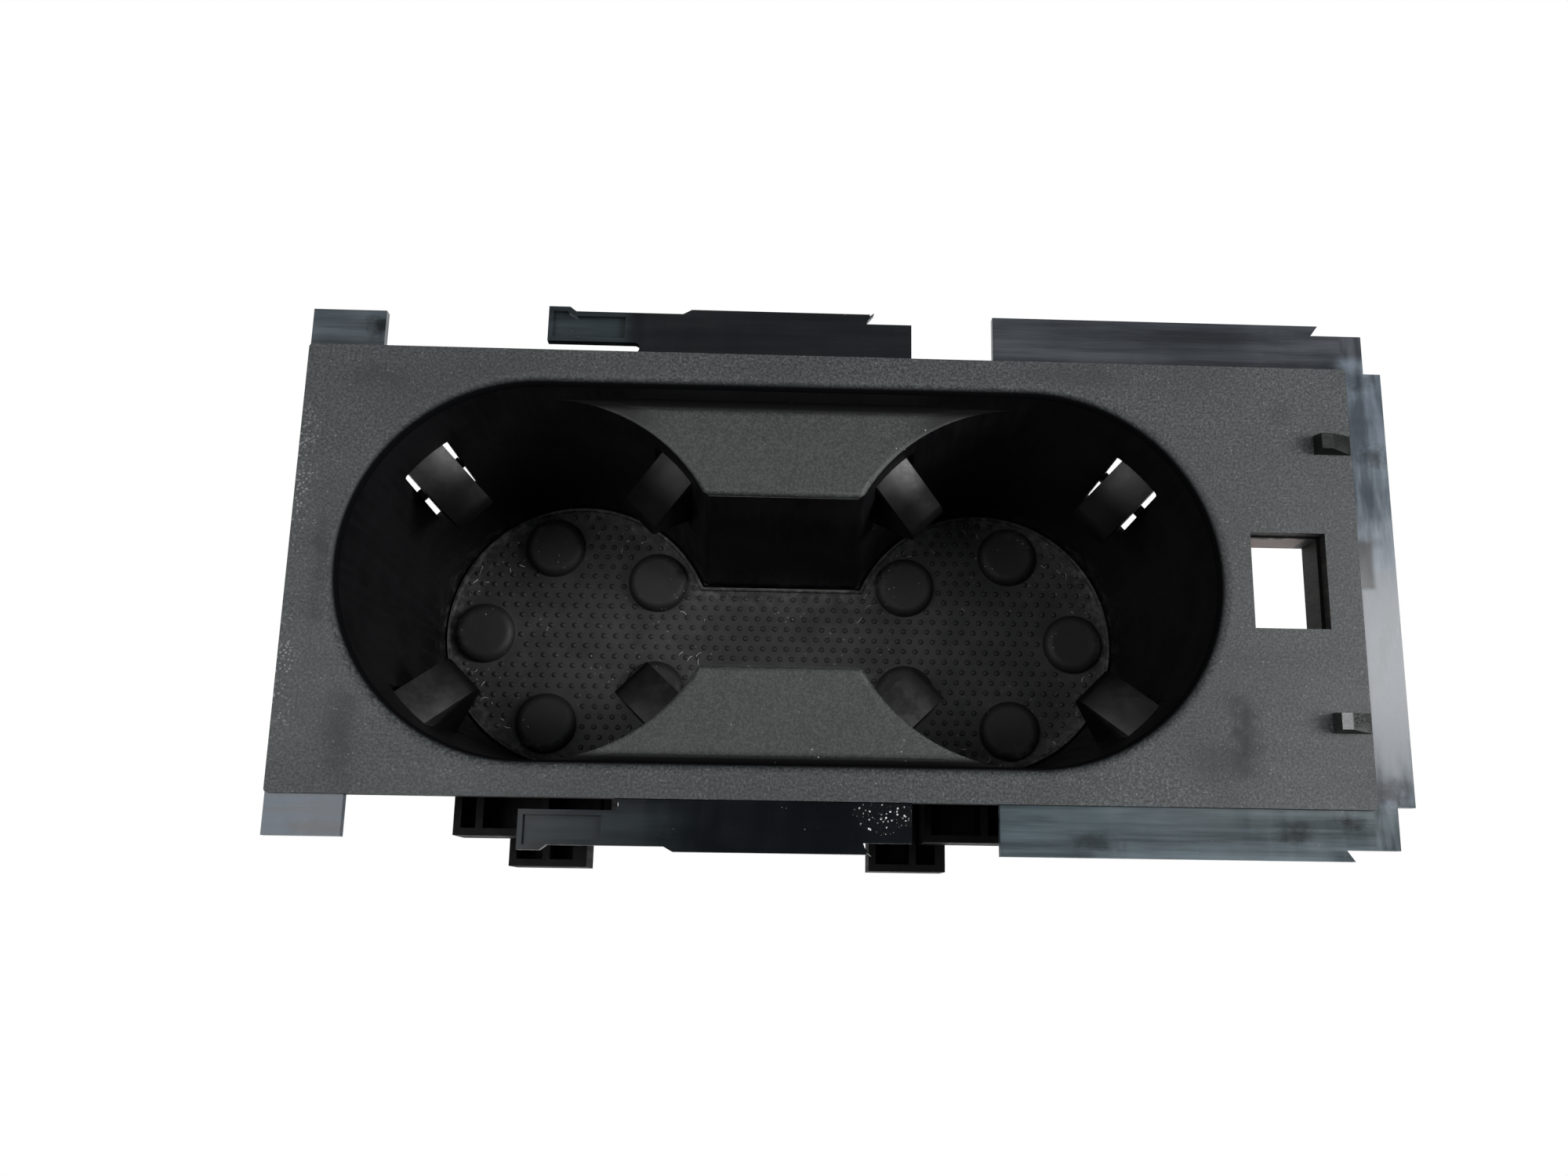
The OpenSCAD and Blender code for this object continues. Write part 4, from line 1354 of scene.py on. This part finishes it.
@dataclass(frozen=True)
class Lamp:
    """A soft lamp: its place, the point that it faces and its size in millimetres, and its watts."""

    name: str
    place: Point
    aim: Point
    size: Span
    power: float

    def hang(self) -> None:
        """Hang the lamp in the scene."""
        data = bpy.data.lights.new(self.name, "AREA")
        data.shape = "RECTANGLE"
        data.size, data.size_y = (value * MM for value in self.size)
        data.energy = self.power
        lamp = bpy.data.objects.new(self.name, data)
        lamp.location = Vector(self.place) * MM
        way = Vector(self.aim) - Vector(self.place)
        lamp.rotation_euler = way.to_track_quat("-Z", "Y").to_euler()
        bpy.context.scene.collection.objects.link(lamp)


@dataclass
class PhotoStage:
    """Camera at the photo's viewpoint, a white floor, soft lamps and a plain world."""

    lamps: tuple[Lamp, ...] = (
        Lamp("right_softbox", (390.0, 90.0, 610.0), (0.0, 90.0, 0.0), (120.0, 320.0), 0.9),
        Lamp("right_fill", (700.0, -20.0, 520.0), (0.0, -20.0, 0.0), (320.0, 320.0), 7.0),
        Lamp("left_softbox", (-380.0, 0.0, 640.0), (0.0, 0.0, 0.0), (400.0, 500.0), 2.6),
        Lamp("front_softbox", (0.0, -900.0, 520.0), (0.0, 0.0, 0.0), (700.0, 300.0), 0.7),
    )
    camera_place: Point = (-0.479, -67.147, 346.225)
    camera_turn: Point = (13.060, -1.696, 1.185)
    lens: float = 31.717
    lens_shift: Span = (-0.0233, 0.0033)
    floor_half: float = 2400.0
    floor_z: float = -0.2

    def build(self) -> None:
        """Set up everything round the part."""
        self.camera()
        self.floor()
        self.world()
        for lamp in self.lamps:
            lamp.hang()

    def camera(self) -> None:
        """Place the camera that was fitted to the photo."""
        data = bpy.data.cameras.new("photo_camera")
        data.lens = self.lens
        data.sensor_width = SENSOR_WIDTH
        data.shift_x, data.shift_y = self.lens_shift
        data.clip_start = 0.01
        data.clip_end = 20.0
        eye = bpy.data.objects.new("photo_camera", data)
        world_to_eye = Euler([math.radians(-turn) for turn in self.camera_turn], "XYZ").to_matrix()
        place = Matrix.Translation(Vector(self.camera_place) * MM)
        eye.matrix_world = place @ world_to_eye.transposed().to_4x4()
        bpy.context.scene.collection.objects.link(eye)
        bpy.context.scene.camera = eye

    def floor(self) -> None:
        """Lay a floor just under the part, which the camera sees as pure white."""
        half = self.floor_half
        mesh = bpy.data.meshes.new("white_floor")
        corners = np.array([(-half, -half), (half, -half), (half, half), (-half, half)])
        points = np.column_stack([corners, np.full(4, self.floor_z)]) * MM
        mesh.from_pydata(points.tolist(), [], [(0, 1, 2, 3)])
        board = bpy.data.objects.new("white_floor", mesh)
        bpy.context.scene.collection.objects.link(board)
        material = bpy.data.materials.new("white_floor")
        material.use_nodes = True
        nodes = material.node_tree.nodes
        nodes.clear()
        matt = nodes.new("ShaderNodeBsdfDiffuse")
        matt.inputs["Color"].default_value = (0.8, 0.8, 0.8, 1.0)
        bright = nodes.new("ShaderNodeEmission")
        bright.inputs["Strength"].default_value = 1.0
        self.split(material.node_tree, matt, bright, "ShaderNodeOutputMaterial")
        mesh.materials.append(material)

    def world(self) -> None:
        """Give the world a soft grey for light and white for the camera."""
        world = bpy.data.worlds.new("soft_room")
        bpy.context.scene.world = world
        world.use_nodes = True
        nodes = world.node_tree.nodes
        nodes.clear()
        room = nodes.new("ShaderNodeBackground")
        room.inputs["Color"].default_value = (0.9, 0.95, 1.0, 1.0)
        room.inputs["Strength"].default_value = 0.2
        white = nodes.new("ShaderNodeBackground")
        white.inputs["Color"].default_value = (1.0, 1.0, 1.0, 1.0)
        self.split(world.node_tree, room, white, "ShaderNodeOutputWorld")

    @staticmethod
    def split(tree: bpy.types.NodeTree, light: bpy.types.Node, white: bpy.types.Node,
              output: str) -> None:
        """Show one shader to the camera and another one to all other rays.

        Args:
            tree: The tree of the material or the world.
            light: The shader for all other rays.
            white: The shader for the camera.
            output: The kind of the output node.
        """
        mix = tree.nodes.new("ShaderNodeMixShader")
        path = tree.nodes.new("ShaderNodeLightPath")
        tree.links.new(path.outputs["Is Camera Ray"], mix.inputs["Fac"])
        tree.links.new(light.outputs[0], mix.inputs[1])
        tree.links.new(white.outputs[0], mix.inputs[2])
        tree.links.new(mix.outputs["Shader"], tree.nodes.new(output).inputs["Surface"])


def grips() -> Iterator[Grip]:
    """Yield the eight grips, which share one plastic and one steel."""
    plastic = FlapPlastic().build()
    steel = WireSteel().build()
    for side in Side:
        for place in Place:
            yield Grip(side, place, plastic, steel)


def main() -> None:
    """Build the stage and every piece in order."""
    logging.basicConfig(level=logging.INFO, format="%(name)s: %(message)s")
    bpy.context.scene.view_settings.view_transform = "Standard"
    PhotoStage().build()
    Housing().build()
    Mat().build()
    for grip in grips():
        grip.build()
    Dirt().build()


if __name__ == "__main__":
    main()
